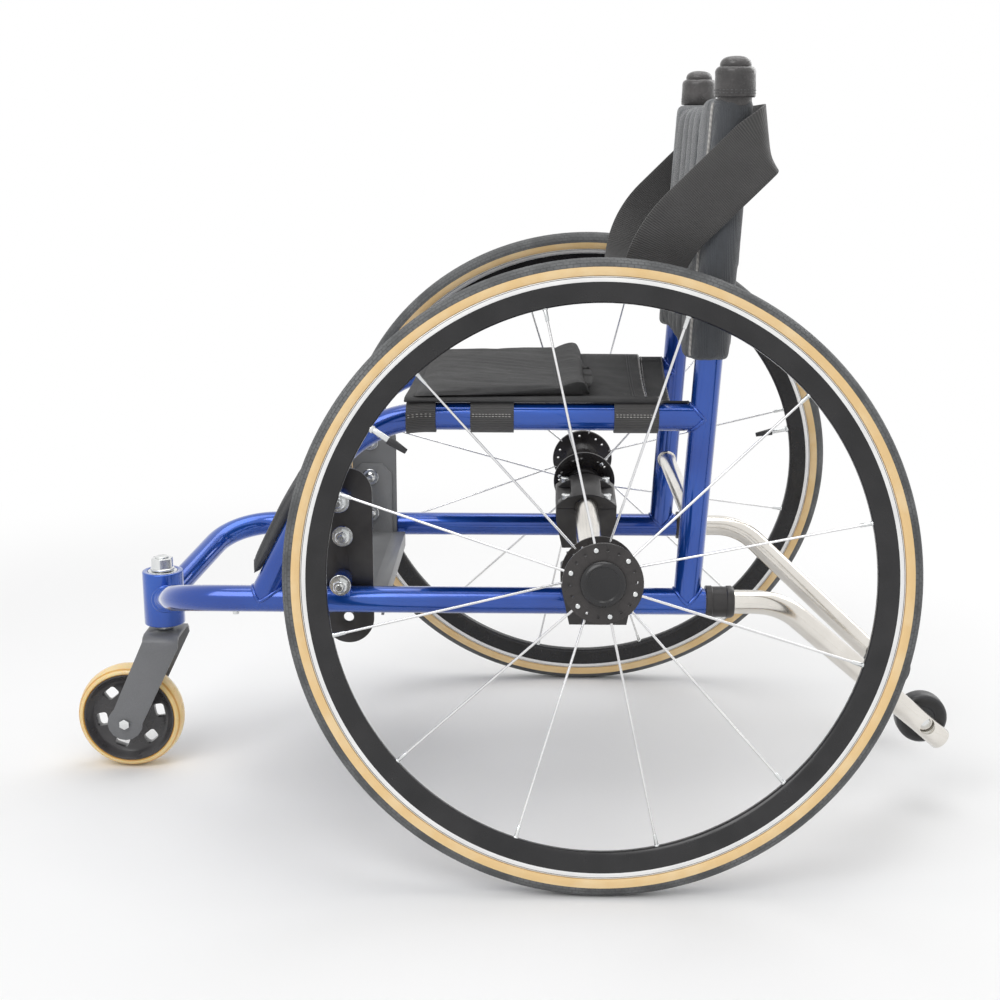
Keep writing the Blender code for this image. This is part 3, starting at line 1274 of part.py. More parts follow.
def build_anti_tip(chair, looks):
    """Each side's collar, bent tube and small wheel."""
    for side_name, side in SIDES.items():
        y = side * FRAME_HALF_WIDTH
        bore = ANTI_TIP_RADIUS + TOUCH_GAP
        start = RAIL_REAR_X + TOUCH_GAP
        along_x = Matrix.Translation((0.0, y, LOWER_RAIL_HEIGHT)) @ Matrix.Rotation(math.pi / 2, 4, "Y")
        collar = turned_mesh("collar", [
            (bore, start),
            (COLLAR_RADIUS, start),
            (COLLAR_RADIUS, start + COLLAR_LENGTH - 0.002),
            (COLLAR_RADIUS - 0.002, start + COLLAR_LENGTH),
            (bore, start + COLLAR_LENGTH),
        ], ROUND_SIDES, along_x)
        place(f"rail_collar_{side_name}", collar, looks["black"], chair)

        corner, slope = anti_tip_axis(side)
        first = Vector((RAIL_REAR_X - ANTI_TIP_INSERT, y, LOWER_RAIL_HEIGHT))
        axis = [first, corner, corner + slope * ANTI_TIP_REACH]
        tube = place(
            f"anti_tip_tube_{side_name}",
            tube_mesh("anti-tip tube", route(axis, [ANTI_TIP_BEND_RADIUS]), ANTI_TIP_RADIUS),
            looks["polished"], chair,
        )
        hub = anti_tip_hub(side)
        flat = abs(hub.y) - ANTI_TIP_RADIUS * 0.75
        wheel_face = flat - RUNNING_GAP
        wheel_y = wheel_face - ANTI_WHEEL_HALF_WIDTH
        seat = abs(hub.y) - ANTI_TIP_RADIUS * 0.25
        inner_cut = sorted((side * flat, side * (flat - 0.08)))
        cut(
            tube,
            box_mesh("wheel side flat", (0.2, inner_cut[0], -0.05), (0.6, inner_cut[1], hub.z + 0.06)),
            bar_mesh(
                "bolt pocket", (hub.x, side * seat, hub.z), (hub.x, side * (seat + 0.05), hub.z),
                ANTI_BOLT_POCKET_RADIUS,
            ),
            bar_mesh(
                "bolt hole", (hub.x, side * (flat - 0.03), hub.z), (hub.x, side * (seat + 0.03), hub.z),
                ANTI_BOLT_RADIUS + TOUCH_GAP, 16,
            ),
        )
        wheel_axis = bpy.data.objects.new(f"anti_tip_axis_{side_name}", None)
        bpy.context.scene.collection.objects.link(wheel_axis)
        wheel_axis.parent = chair
        wheel_axis.location = (hub.x, side * wheel_y, hub.z)
        wheel_axis.rotation_euler = (math.pi / 2, 0.0, 0.0)
        half = ANTI_WHEEL_HALF_WIDTH
        hole = ANTI_BOLT_RADIUS + TOUCH_GAP
        wheel = turned_mesh("anti-tip wheel", [
            (hole, -half),
            (ANTI_WHEEL_RADIUS * 0.45, -half),
            (ANTI_WHEEL_RADIUS * 0.60, -half + 0.002),
            (ANTI_WHEEL_RADIUS - 0.003, -half + 0.0012),
            (ANTI_WHEEL_RADIUS, -half / 2),
            (ANTI_WHEEL_RADIUS, half / 2),
            (ANTI_WHEEL_RADIUS - 0.003, half - 0.0012),
            (ANTI_WHEEL_RADIUS * 0.60, half - 0.002),
            (ANTI_WHEEL_RADIUS * 0.45, half),
            (hole, half),
        ], ANTI_WHEEL_SEGMENTS)
        place(f"anti_tip_wheel_{side_name}", wheel, looks["rubber"], wheel_axis)
        far_face = wheel_y - half - RUNNING_GAP
        bolt = place(f"anti_tip_bolt_{side_name}", bar_mesh(
            "anti-tip axle", (hub.x, side * (far_face - 0.001), hub.z),
            (hub.x, side * (seat + TOUCH_GAP + 0.001), hub.z), ANTI_BOLT_RADIUS, 16,
        ), looks["steel"], chair)
        fuse(
            bolt,
            bar_mesh(
                "axle head", (hub.x, side * (seat + TOUCH_GAP), hub.z),
                (hub.x, side * (seat + TOUCH_GAP + BOLT_HEAD_HEIGHT), hub.z), BOLT_HEAD_RADIUS, 12,
            ),
            bar_mesh(
                "axle nut", (hub.x, side * (far_face - NUT_HEIGHT), hub.z),
                (hub.x, side * far_face, hub.z), NUT_RADIUS, 6,
            ),
        )


def make_finishes():
    """Every surface finish of the chair."""
    return {
        "blue": finish("candy_blue_paint", (0.03, 0.10, 0.47), 0.16, 0.35),
        "black": finish("black_anodised", (0.025, 0.025, 0.028), 0.38, 0.4),
        "hub_black": finish("hub_black", (0.03, 0.03, 0.032), 0.32, 0.5),
        "gloss_black": finish("gloss_black", (0.012, 0.012, 0.014), 0.12),
        "dark_grey": finish("dark_grey_powder_coat", (0.055, 0.057, 0.062), 0.5, 0.1),
        "tyre": finish("tyre_rubber", (0.05, 0.052, 0.055), 0.75),
        "rubber": finish("black_rubber", (0.02, 0.02, 0.022), 0.45),
        "amber": finish("amber_polyurethane", (0.80, 0.50, 0.18), 0.35),
        "polished": finish("polished_tube", (0.70, 0.68, 0.63), 0.22, 1.0),
        "steel": finish("zinc_steel", (0.74, 0.75, 0.75), 0.3, 1.0),
        "cloth": finish("black_nylon_cloth", (0.03, 0.03, 0.032), 0.85),
        "back_cloth": finish("grey_black_cloth", (0.05, 0.055, 0.058), 0.8),
        "webbing": finish("black_webbing", (0.025, 0.025, 0.026), 0.7),
        "leather": finish("black_leather", (0.03, 0.03, 0.031), 0.45),
    }


def main():
    clear_scene()
    looks = make_finishes()
    chair = bpy.data.objects.new("chair_origin", None)
    bpy.context.scene.collection.objects.link(chair)
    build_frame(chair, looks)
    build_axle(chair, looks)
    build_clamps(chair, looks)
    build_drive_wheels(chair, looks)
    build_caster(chair, looks)
    build_foot_rest(chair, looks)
    build_leg_strap(chair, looks)
    build_seat(chair, looks)
    build_back(chair, looks)
    build_belt(chair, looks)
    build_anti_tip(chair, looks)
    front_end = HOUSING_X - CASTER_TRAIL - CASTER_RADIUS
    rear_end = anti_tip_hub(SIDES["left"]).x + ANTI_WHEEL_RADIUS
    chair.location.x = -(front_end + rear_end) / 2


main()
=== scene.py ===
"""Finished looks of a rigid active wheelchair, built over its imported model.

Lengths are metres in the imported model's frame: +X to the rear, +Y to the chair's
right, +Z up. Sizes along X are written from the axle, and place() shifts them.
"""

import json
import logging
import math
from collections.abc import Callable, Iterable, Sequence
from dataclasses import dataclass, field
from enum import Enum

import bpy
from mathutils import Matrix, Vector, noise
from mathutils.bvhtree import BVHTree


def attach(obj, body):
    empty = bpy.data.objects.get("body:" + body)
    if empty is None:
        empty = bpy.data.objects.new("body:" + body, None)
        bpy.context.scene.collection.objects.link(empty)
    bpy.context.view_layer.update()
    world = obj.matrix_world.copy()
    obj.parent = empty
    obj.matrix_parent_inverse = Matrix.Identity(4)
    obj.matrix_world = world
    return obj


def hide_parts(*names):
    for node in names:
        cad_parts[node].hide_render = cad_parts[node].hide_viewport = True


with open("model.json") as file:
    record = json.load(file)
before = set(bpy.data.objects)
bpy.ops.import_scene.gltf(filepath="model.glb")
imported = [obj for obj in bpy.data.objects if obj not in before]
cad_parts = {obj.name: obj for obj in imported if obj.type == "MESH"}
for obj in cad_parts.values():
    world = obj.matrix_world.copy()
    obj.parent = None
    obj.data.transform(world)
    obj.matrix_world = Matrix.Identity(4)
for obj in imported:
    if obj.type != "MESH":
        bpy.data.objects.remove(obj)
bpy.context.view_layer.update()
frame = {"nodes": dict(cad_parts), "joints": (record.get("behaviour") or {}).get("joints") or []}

log = logging.getLogger("wheelchair")

AXLE_X, _, AXLE_Z = next(j["pos_m"] for j in frame["joints"] if j["name"] == "drive_wheel_spin_left")
SIDES = {"left": -1.0, "right": 1.0}
UP = Vector((0.0, 0.0, 1.0))
REAR = Vector((1.0, 0.0, 0.0))
UPRIGHT = Matrix.Rotation(math.pi / 2, 4, "X")  # stands a flat outline up along the chair

GAP = 0.0003  # clearance between two pieces that touch
TUBE_RADIUS = 0.0143  # rails, legs and posts
HALF_WIDTH = 0.168  # from the middle to the axis of a side's rails and posts
RAIL_HEIGHT = 0.262  # lower rails' axis above the floor
RAIL_REAR = 0.116  # lower rails' rear ends
SEAT_HEIGHT = 0.462  # seat rails' axis above the floor
HOUSING_X = -0.507  # the caster's upright axis
BOLT_X = -0.273  # the foot rest's bolts
LUG_REACH = 0.012  # how far a lug stands out from the rails' plane
LEG_BEND = 0.125  # radius of the bend from seat rail to leg
SLEEVE_WIDTH = 0.0178  # from a post's axis to the outside of its sleeve
HARD, CRISP, ROUND, SOFT = 35.0, 50.0, 60.0, 80.0  # degrees between faces, above which an edge stays sharp

Colour = tuple[float, float, float]
Outline = Sequence[tuple[float, float]]
Piece = bpy.types.Object
Socket = bpy.types.NodeSocket


def place(x: float, y: float, z: float) -> Vector:
    """A point given from the axle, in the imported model's frame."""
    return Vector((x + AXLE_X, y, z))


def arc(centre: tuple[float, float], radius: float, start: float, end: float, steps: int) -> list:
    """Points of a flat arc.

    Args:
        centre: the arc's centre.
        radius: its radius.
        start: first angle in degrees.
        end: last angle in degrees.
        steps: number of chords.

    Returns:
        The points, both ends included.
    """
    angles = [math.radians(start + (end - start) * step / steps) for step in range(steps + 1)]
    return [(centre[0] + radius * math.cos(a), centre[1] + radius * math.sin(a)) for a in angles]


def mirror(half: Outline) -> list[tuple[float, float]]:
    """A half section and its mirror image below it."""
    return [*half, *((radius, -height) for radius, height in reversed(half))]


def bend_at(before: Vector, corner: Vector, after: Vector, radius: float) -> tuple:
    """A round bend's start and centre, its angle, and the directions back and ahead from its corner."""
    back, ahead = (before - corner).normalized(), (after - corner).normalized()
    turn = math.pi - back.angle(ahead)
    start = corner + back * radius * math.tan(turn / 2)
    centre = corner + (back + ahead).normalized() * radius / math.cos(turn / 2)
    return start, centre, turn, back, ahead


# --------------------------------------------------------------------------- finishes


class Pattern(Enum):
    """What covers a surface when it is seen close up, by the method of Finish that draws it."""

    FLAKE = "flake"
    POLISHED = "polished"
    MACHINED = "machined"
    SATIN = "satin"
    POWDER = "powder"
    RUBBER = "rubber"
    TREAD = "tread"
    RESIN = "resin"
    WEAVE = "weave"
    RIBS = "ribs"
    LEATHER = "leather"
    THREAD = "thread"


class Graph:
    """A material's node tree, grown one node at a time."""

    def __init__(self, name: str) -> None:
        """Start a material with its Principled shader.

        Args:
            name: the material's name.
        """
        self.material = bpy.data.materials.new(name)
        self.material.use_nodes = True
        self.tree = self.material.node_tree
        self.shader = self.tree.nodes["Principled BSDF"]
        coordinates = self.tree.nodes.new("ShaderNodeTexCoord").outputs
        self.own, self.flat = coordinates["Object"], coordinates["UV"]

    def add(self, kind: str, inputs: dict | None = None, settings: dict | None = None) -> bpy.types.Node:
        """Add a node.

        Args:
            kind: the node's type.
            inputs: socket name or number to a value or an output socket.
            settings: attribute name to value.

        Returns:
            The new node.
        """
        node = self.tree.nodes.new(kind)
        for name, value in (settings or {}).items():
            setattr(node, name, value)
        for name, value in (inputs or {}).items():
            if isinstance(value, Socket):
                self.tree.links.new(value, node.inputs[name])
            else:
                node.inputs[name].default_value = value
        return node

    def place(self, stretch: Colour = (1.0, 1.0, 1.0)) -> Socket:
        """Coordinates in metres on the piece itself, stretched along its axes."""
        return self.add("ShaderNodeMapping", {"Vector": self.own, "Scale": stretch}).outputs["Vector"]

    def cloud(self, scale: float, detail: float = 3.0, where: object = None) -> Socket:
        """Soft noise.

        Args:
            scale: repeats in a metre.
            detail: octaves.
            where: the coordinates, or the piece's own.

        Returns:
            The noise's value.
        """
        inputs = {"Vector": where or self.own, "Scale": scale, "Detail": detail}
        return self.add("ShaderNodeTexNoise", inputs).outputs[0]

    def span(self, value: object, low: float, high: float, out: tuple[float, float]) -> Socket:
        """Map a value from low..high to the range out."""
        return self.add("ShaderNodeMapRange", {
            "Value": value, "From Min": low, "From Max": high, "To Min": out[0], "To Max": out[1],
        }).outputs[0]

    def math(self, operation: str, first: object, second: object = 0.0) -> Socket:
        """One arithmetic step on one or two values."""
        return self.add("ShaderNodeMath", {0: first, 1: second}, {"operation": operation}).outputs[0]

    def blend(self, factor: object, first: object, second: object) -> Socket:
        """Mix two colours by a factor."""
        node = self.add("ShaderNodeMix", {"Factor": factor}, {"data_type": "RGBA"})
        for name, value in (("A", first), ("B", second)):
            socket = next(s for s in node.inputs if s.name == name and s.type == "RGBA")
            if isinstance(value, Socket):
                self.tree.links.new(value, socket)
            else:
                socket.default_value = (*value, 1.0)
        return next(s for s in node.outputs if s.type == "RGBA")

    def relief(self, height: object, depth: float, strength: float = 1.0) -> None:
        """Let a height pattern, in metres once scaled by depth, shape the surface's light."""
        bump = self.add("ShaderNodeBump", {"Height": height, "Distance": depth, "Strength": strength})
        self.tree.links.new(bump.outputs["Normal"], self.shader.inputs["Normal"])

    def feed(self, socket: str, value: object) -> None:
        """Link a value into the shader."""
        self.tree.links.new(value, self.shader.inputs[socket])

    def fix(self, values: dict) -> None:
        """Set the shader's inputs to constants."""
        for name, value in values.items():
            self.shader.inputs[name].default_value = value


@dataclass(frozen=True)
class Finish:
    """One surface finish: colour, gloss and the pattern that covers it."""

    name: str
    slot: str
    pattern: Pattern
    colour: Colour
    accent: Colour
    roughness: float
    metallic: float = 0.0
    coat: float = 0.0
    sheen: float = 0.0
    pitch: float = 0.001
    depth: float = 0.0001

    def material(self) -> bpy.types.Material:
        """Build the finish once, and hand out the same material after that.

        Returns:
            The material.
        """
        known = bpy.data.materials.get(self.name)
        if known is not None:
            return known
        graph = Graph(self.name)
        graph.fix({
            "Metallic": self.metallic, "Coat Weight": self.coat, "Coat Roughness": 0.04,
            "Sheen Weight": self.sheen, "Sheen Roughness": 0.4,
        })
        getattr(self, self.pattern.value)(graph)
        return graph.material

    def tone(self, graph: Graph, factor: object) -> None:
        """Colour the surface between the finish's two colours."""
        graph.feed("Base Color", graph.blend(factor, self.colour, self.accent))

    def gloss(self, graph: Graph, factor: object, spread: float) -> None:
        """Let the roughness wander by spread about its value."""
        low, high = self.roughness - spread, self.roughness + spread
        graph.feed("Roughness", graph.span(factor, 0.3, 0.7, (max(0.02, low), high)))

    def flake(self, graph: Graph) -> None:
        """Candy paint: cloudy depth of colour, and tiny flakes in its relief with a painted glint on each."""
        cloud = graph.cloud(9.0, 2.0)
        flakes = graph.add(
            "ShaderNodeTexVoronoi", {"Vector": graph.own, "Scale": 1.0 / self.pitch},
        ).outputs["Distance"]
        # Painted glint: the colour turns paler towards the middle of each flake.
        painted_glint = graph.span(flakes, 0.0, 0.25, (0.35, 0.0))
        self.tone(graph, graph.math("ADD", graph.span(cloud, 0.35, 0.65, (0.0, 0.6)), painted_glint))
        self.gloss(graph, graph.cloud(40.0), 0.05)
        peel = graph.cloud(160.0, 1.0)
        graph.relief(graph.math("ADD", peel, graph.math("MULTIPLY", flakes, 0.2)), self.depth)

    def polished(self, graph: Graph) -> None:
        """Polished metal: fine marks along and across, and a slightly cloudy gloss."""
        marks = graph.cloud(1.0, 6.0, graph.place((1.0 / self.pitch, 1.0 / self.pitch, 60.0)))
        self.tone(graph, graph.span(graph.cloud(22.0), 0.3, 0.7, (0.0, 1.0)))
        self.gloss(graph, graph.math("ADD", graph.math("MULTIPLY", marks, 0.5), 0.25), 0.06)
        graph.relief(marks, self.depth, 0.5)

    def machined(self, graph: Graph) -> None:
        """Turned metal: fine rings that follow the piece's own section."""
        rings = graph.add("ShaderNodeTexWave", {
            "Vector": graph.flat, "Scale": 1.0 / (self.pitch * math.tau),
            "Distortion": 0.4, "Detail": 1.0,
        }, {"bands_direction": "Y"}).outputs["Fac"]
        self.tone(graph, graph.span(graph.cloud(30.0), 0.3, 0.7, (0.0, 1.0)))
        self.gloss(graph, rings, 0.05)
        graph.relief(rings, self.depth, 0.6)

    def satin(self, graph: Graph) -> None:
        """Anodised or moulded satin, a little paler where edges have rubbed."""
        cloud = graph.cloud(26.0, 4.0)
        edge = graph.add("ShaderNodeNewGeometry").outputs["Pointiness"]
        rub = graph.math("MULTIPLY", graph.span(edge, 0.52, 0.6, (0.0, 0.8)), graph.cloud(55.0, 4.0))
        self.tone(graph, graph.math("ADD", graph.span(cloud, 0.3, 0.7, (0.0, 0.5)), rub))
        self.gloss(graph, graph.cloud(70.0, 4.0), 0.07)
        graph.relief(graph.cloud(1.0 / self.pitch, 2.0), self.depth)

    def powder(self, graph: Graph) -> None:
        """Powder coat: an even fine texture like orange peel."""
        grains = graph.cloud(1.0 / self.pitch, 2.0)
        self.tone(graph, graph.span(graph.math("ADD", grains, graph.cloud(14.0)), 0.7, 1.3, (0.0, 1.0)))
        self.gloss(graph, grains, 0.06)
        graph.relief(grains, self.depth)

    def rubber(self, graph: Graph) -> None:
        """Moulded rubber with a light bloom of dust."""
        dust = graph.span(graph.cloud(38.0, 5.0), 0.42, 0.75, (0.0, 0.9))
        self.tone(graph, dust)
        self.gloss(graph, dust, 0.08)
        graph.relief(graph.cloud(1.0 / self.pitch, 3.0), self.depth)

    def tread(self, graph: Graph) -> None:
        """Small staggered blocks round the tyre, on its own section and circumference, with painted shade in
        the grooves between them.
        """
        blocks = graph.add("ShaderNodeTexBrick", {
            "Vector": graph.flat, "Scale": 1.0, "Mortar Size": self.pitch * 0.14,
            "Mortar Smooth": 0.6, "Brick Width": self.pitch * 2.0, "Row Height": self.pitch * 1.2,
            "Color1": (1.0, 1.0, 1.0, 1.0), "Color2": (0.9, 0.9, 0.9, 1.0), "Mortar": (0.0, 0.0, 0.0, 1.0),
        }).outputs["Fac"]
        dust = graph.span(graph.cloud(30.0, 5.0), 0.4, 0.7, (0.0, 0.8))
        # Painted shade: the grooves between the blocks are darker, and the dust pales the rest.
        shade = graph.math("MULTIPLY", graph.math("SUBTRACT", 1.0, graph.math("MULTIPLY", blocks, 0.7)), dust)
        self.tone(graph, shade)
        self.gloss(graph, dust, 0.06)
        grain = graph.cloud(900.0)
        graph.relief(graph.math("SUBTRACT", grain, graph.math("MULTIPLY", blocks, 2.0)), self.depth)

    def resin(self, graph: Graph) -> None:
        """Cast polyurethane that light enters a little way."""
        graph.fix({
            "Subsurface Weight": 0.35, "Subsurface Radius": (1.0, 0.62, 0.2), "Subsurface Scale": 0.006,
        })
        self.tone(graph, graph.span(graph.cloud(24.0, 4.0), 0.3, 0.7, (0.0, 1.0)))
        self.gloss(graph, graph.cloud(60.0, 4.0), 0.08)
        graph.relief(graph.cloud(1.0 / self.pitch, 2.0), self.depth)

    def weave(self, graph: Graph) -> None:
        """Woven nylon: threads that cross in all three directions, with painted shade between them, wear and
        a little lint.
        """
        waves = []
        where = graph.add("ShaderNodeSeparateXYZ", {"Vector": graph.place()})
        for axis in "XYZ":
            turned = graph.math("MULTIPLY", where.outputs[axis], math.tau / self.pitch)
            waves.append(graph.math("SINE", turned))
        along = graph.math("MULTIPLY", waves[0], waves[1])
        across = graph.math(
            "ADD", graph.math("MULTIPLY", waves[1], waves[2]), graph.math("MULTIPLY", waves[0], waves[2]),
        )
        height = graph.math("ADD", along, across)
        # Painted shade: the colour follows the threads' height, darker where they dip.
        shade = graph.span(height, -1.0, 1.0, (0.0, 1.0))
        worn = graph.span(graph.cloud(17.0, 5.0), 0.4, 0.75, (0.0, 0.55))
        self.tone(graph, graph.math("ADD", graph.math("MULTIPLY", shade, 0.35), worn))
        self.gloss(graph, graph.cloud(50.0), 0.06)
        graph.relief(graph.math("ADD", height, graph.cloud(300.0, 3.0)), self.depth)

    def ribs(self, graph: Graph) -> None:
        """Webbing with ribs across its width, on its own length and width, and painted shade between the
        ribs.
        """
        where = graph.add("ShaderNodeSeparateXYZ", {"Vector": graph.flat})
        wave = graph.math("SINE", graph.math("MULTIPLY", where.outputs["Y"], math.tau / self.pitch))
        fine = graph.math("SINE", graph.math("MULTIPLY", where.outputs["X"], math.tau / (self.pitch * 0.45)))
        # Painted shade: the colour follows the ribs' height, darker in the grooves between them.
        shade = graph.span(wave, -1.0, 1.0, (0.0, 0.7))
        worn = graph.span(graph.cloud(20.0, 5.0), 0.4, 0.75, (0.0, 0.3))
        self.tone(graph, graph.math("ADD", shade, worn))
        self.gloss(graph, graph.cloud(60.0), 0.05)
        graph.relief(graph.math("ADD", wave, graph.math("MULTIPLY", fine, 0.3)), self.depth)

    def leather(self, graph: Graph) -> None:
        """Grained leather: small cells with creases between them."""
        cells = graph.add("ShaderNodeTexVoronoi", {
            "Vector": graph.own, "Scale": 1.0 / self.pitch,
        }, {"feature": "DISTANCE_TO_EDGE"}).outputs["Distance"]
        self.tone(graph, graph.span(graph.cloud(32.0, 5.0), 0.35, 0.7, (0.0, 1.0)))
        self.gloss(graph, graph.cloud(90.0, 4.0), 0.08)
        creases = graph.span(cells, 0.0, 0.12, (0.0, 1.0))
        graph.relief(graph.math("ADD", creases, graph.cloud(120.0, 3.0)), self.depth)

    def thread(self, graph: Graph) -> None:
        """Sewing thread and piping cord: a fine slanted twist, with painted shade between its strands."""
        twist = graph.add("ShaderNodeTexWave", {
            "Vector": graph.own, "Scale": 1.0 / (self.pitch * math.tau),
            "Distortion": 0.6,
        }, {"bands_direction": "DIAGONAL"}).outputs["Fac"]
        # Painted shade: the colour follows the twist, darker between the strands.
        self.tone(graph, twist)
        self.gloss(graph, graph.cloud(200.0), 0.05)
        graph.relief(twist, self.depth)


CANDY_BLUE = Finish(
    "candy_blue", "blue_paint", Pattern.FLAKE, (0.003, 0.052, 0.34), (0.012, 0.115, 0.56), 0.2,
    metallic=0.55, coat=1.0, pitch=0.0011, depth=0.00004,
)
POLISHED_TUBE = Finish(
    "polished_tube", "polished_aluminium", Pattern.POLISHED, (0.82, 0.79, 0.74), (0.72, 0.69, 0.64), 0.2,
    metallic=1.0, pitch=0.0016, depth=0.00003,
)
BLACK_ANODISED = Finish(
    "black_anodised", "black_aluminium", Pattern.SATIN, (0.022, 0.020, 0.021), (0.075, 0.072, 0.07), 0.36,
    metallic=0.35, pitch=0.0009, depth=0.00005,
)
HUB_SATIN = Finish(
    "hub_satin", "black_aluminium", Pattern.SATIN, (0.012, 0.0105, 0.0105), (0.055, 0.049, 0.048), 0.28,
    pitch=0.0009, depth=0.00004,
)
GLOSS_BLACK = Finish(
    "black_lacquer", "gloss_black", Pattern.SATIN, (0.006, 0.006, 0.007), (0.030, 0.029, 0.031), 0.22,
    pitch=0.0012, depth=0.00003,
)
BRAKE_TRACK = Finish(
    "brake_track", "polished_aluminium", Pattern.MACHINED, (0.90, 0.90, 0.89), (0.80, 0.80, 0.80), 0.38,
    metallic=0.8, pitch=0.0006, depth=0.00001,
)
TYRE_TREAD = Finish(
    "tyre_tread", "tyre", Pattern.TREAD, (0.085, 0.088, 0.090), (0.20, 0.205, 0.208), 0.7,
    pitch=0.0034, depth=0.0004,
)
TYRE_WALL = Finish(
    "tyre_wall", "tyre", Pattern.RUBBER, (0.86, 0.60, 0.29), (0.93, 0.72, 0.43), 0.6,
    pitch=0.0012, depth=0.00012,
)
BLACK_RUBBER = Finish(
    "black_rubber", "rubber", Pattern.RUBBER, (0.018, 0.018, 0.02), (0.065, 0.065, 0.068), 0.42,
    pitch=0.0012, depth=0.00012,
)
AMBER_RESIN = Finish(
    "amber_resin", "amber", Pattern.RESIN, (0.86, 0.60, 0.24), (0.93, 0.72, 0.38), 0.3,
    coat=0.3, pitch=0.0016, depth=0.00006,
)
# Painted shade on the caster tyre: darker amber at the hub's edge and in a line on the shoulder.
AMBER_PAINTED_SHADE = Finish(
    "amber_painted_shade", "amber", Pattern.RESIN, (0.66, 0.33, 0.07), (0.76, 0.44, 0.13), 0.35,
    pitch=0.0016, depth=0.00006,
)
GREY_COAT = Finish(
    "grey_powder_coat", "grey_coat", Pattern.POWDER, (0.135, 0.138, 0.145), (0.185, 0.188, 0.195), 0.38,
    pitch=0.0009, depth=0.00006,
)
PLATE_COAT = Finish(
    "plate_powder_coat", "grey_coat", Pattern.POWDER, (0.185, 0.188, 0.192), (0.25, 0.253, 0.258), 0.38,
    pitch=0.0009, depth=0.00006,
)
WHEEL_BLACK = Finish(
    "wheel_black", "black_aluminium", Pattern.SATIN, (0.030, 0.028, 0.030), (0.075, 0.072, 0.074), 0.3,
    coat=0.3, pitch=0.001, depth=0.00005,
)
ZINC = Finish(
    "zinc_steel", "steel", Pattern.POLISHED, (0.80, 0.81, 0.80), (0.66, 0.68, 0.69), 0.24,
    metallic=1.0, pitch=0.0009, depth=0.00004,
)
SPOKE_STEEL = Finish(
    "spoke_steel", "steel", Pattern.POLISHED, (0.86, 0.86, 0.86), (0.7, 0.7, 0.71), 0.22,
    metallic=1.0, pitch=0.0014, depth=0.00003,
)
SEAT_NYLON = Finish(
    "seat_nylon", "cloth", Pattern.WEAVE, (0.014, 0.014, 0.015), (0.046, 0.046, 0.047), 0.74,
    sheen=0.08, pitch=0.0014, depth=0.00018,
)
BACK_NYLON = Finish(
    "back_nylon", "cloth", Pattern.WEAVE, (0.036, 0.039, 0.044), (0.10, 0.113, 0.132), 0.52,
    sheen=0.5, pitch=0.0013, depth=0.00016,
)
WEBBING = Finish(
    "webbing_black", "webbing", Pattern.RIBS, (0.036, 0.035, 0.035), (0.088, 0.086, 0.085), 0.6,
    sheen=0.15, pitch=0.0020, depth=0.00022,
)
STRAP_NYLON = Finish(
    "strap_nylon", "cloth", Pattern.WEAVE, (0.046, 0.047, 0.050), (0.115, 0.117, 0.122), 0.7,
    sheen=0.1, pitch=0.0014, depth=0.00018,
)
LEATHER = Finish(
    "black_leather", "leather", Pattern.LEATHER, (0.026, 0.024, 0.024), (0.08, 0.074, 0.073), 0.28,
    coat=0.3, pitch=0.0016, depth=0.0002,
)
PIPING = Finish(
    "pale_piping", "leather", Pattern.THREAD, (0.34, 0.33, 0.32), (0.50, 0.49, 0.47), 0.45,
    pitch=0.0015, depth=0.00015,
)
THREAD = Finish(
    "sewing_thread", "webbing", Pattern.THREAD, (0.05, 0.05, 0.052), (0.13, 0.13, 0.135), 0.55,
    pitch=0.0008, depth=0.0001,
)


# --------------------------------------------------------------------------- modelling


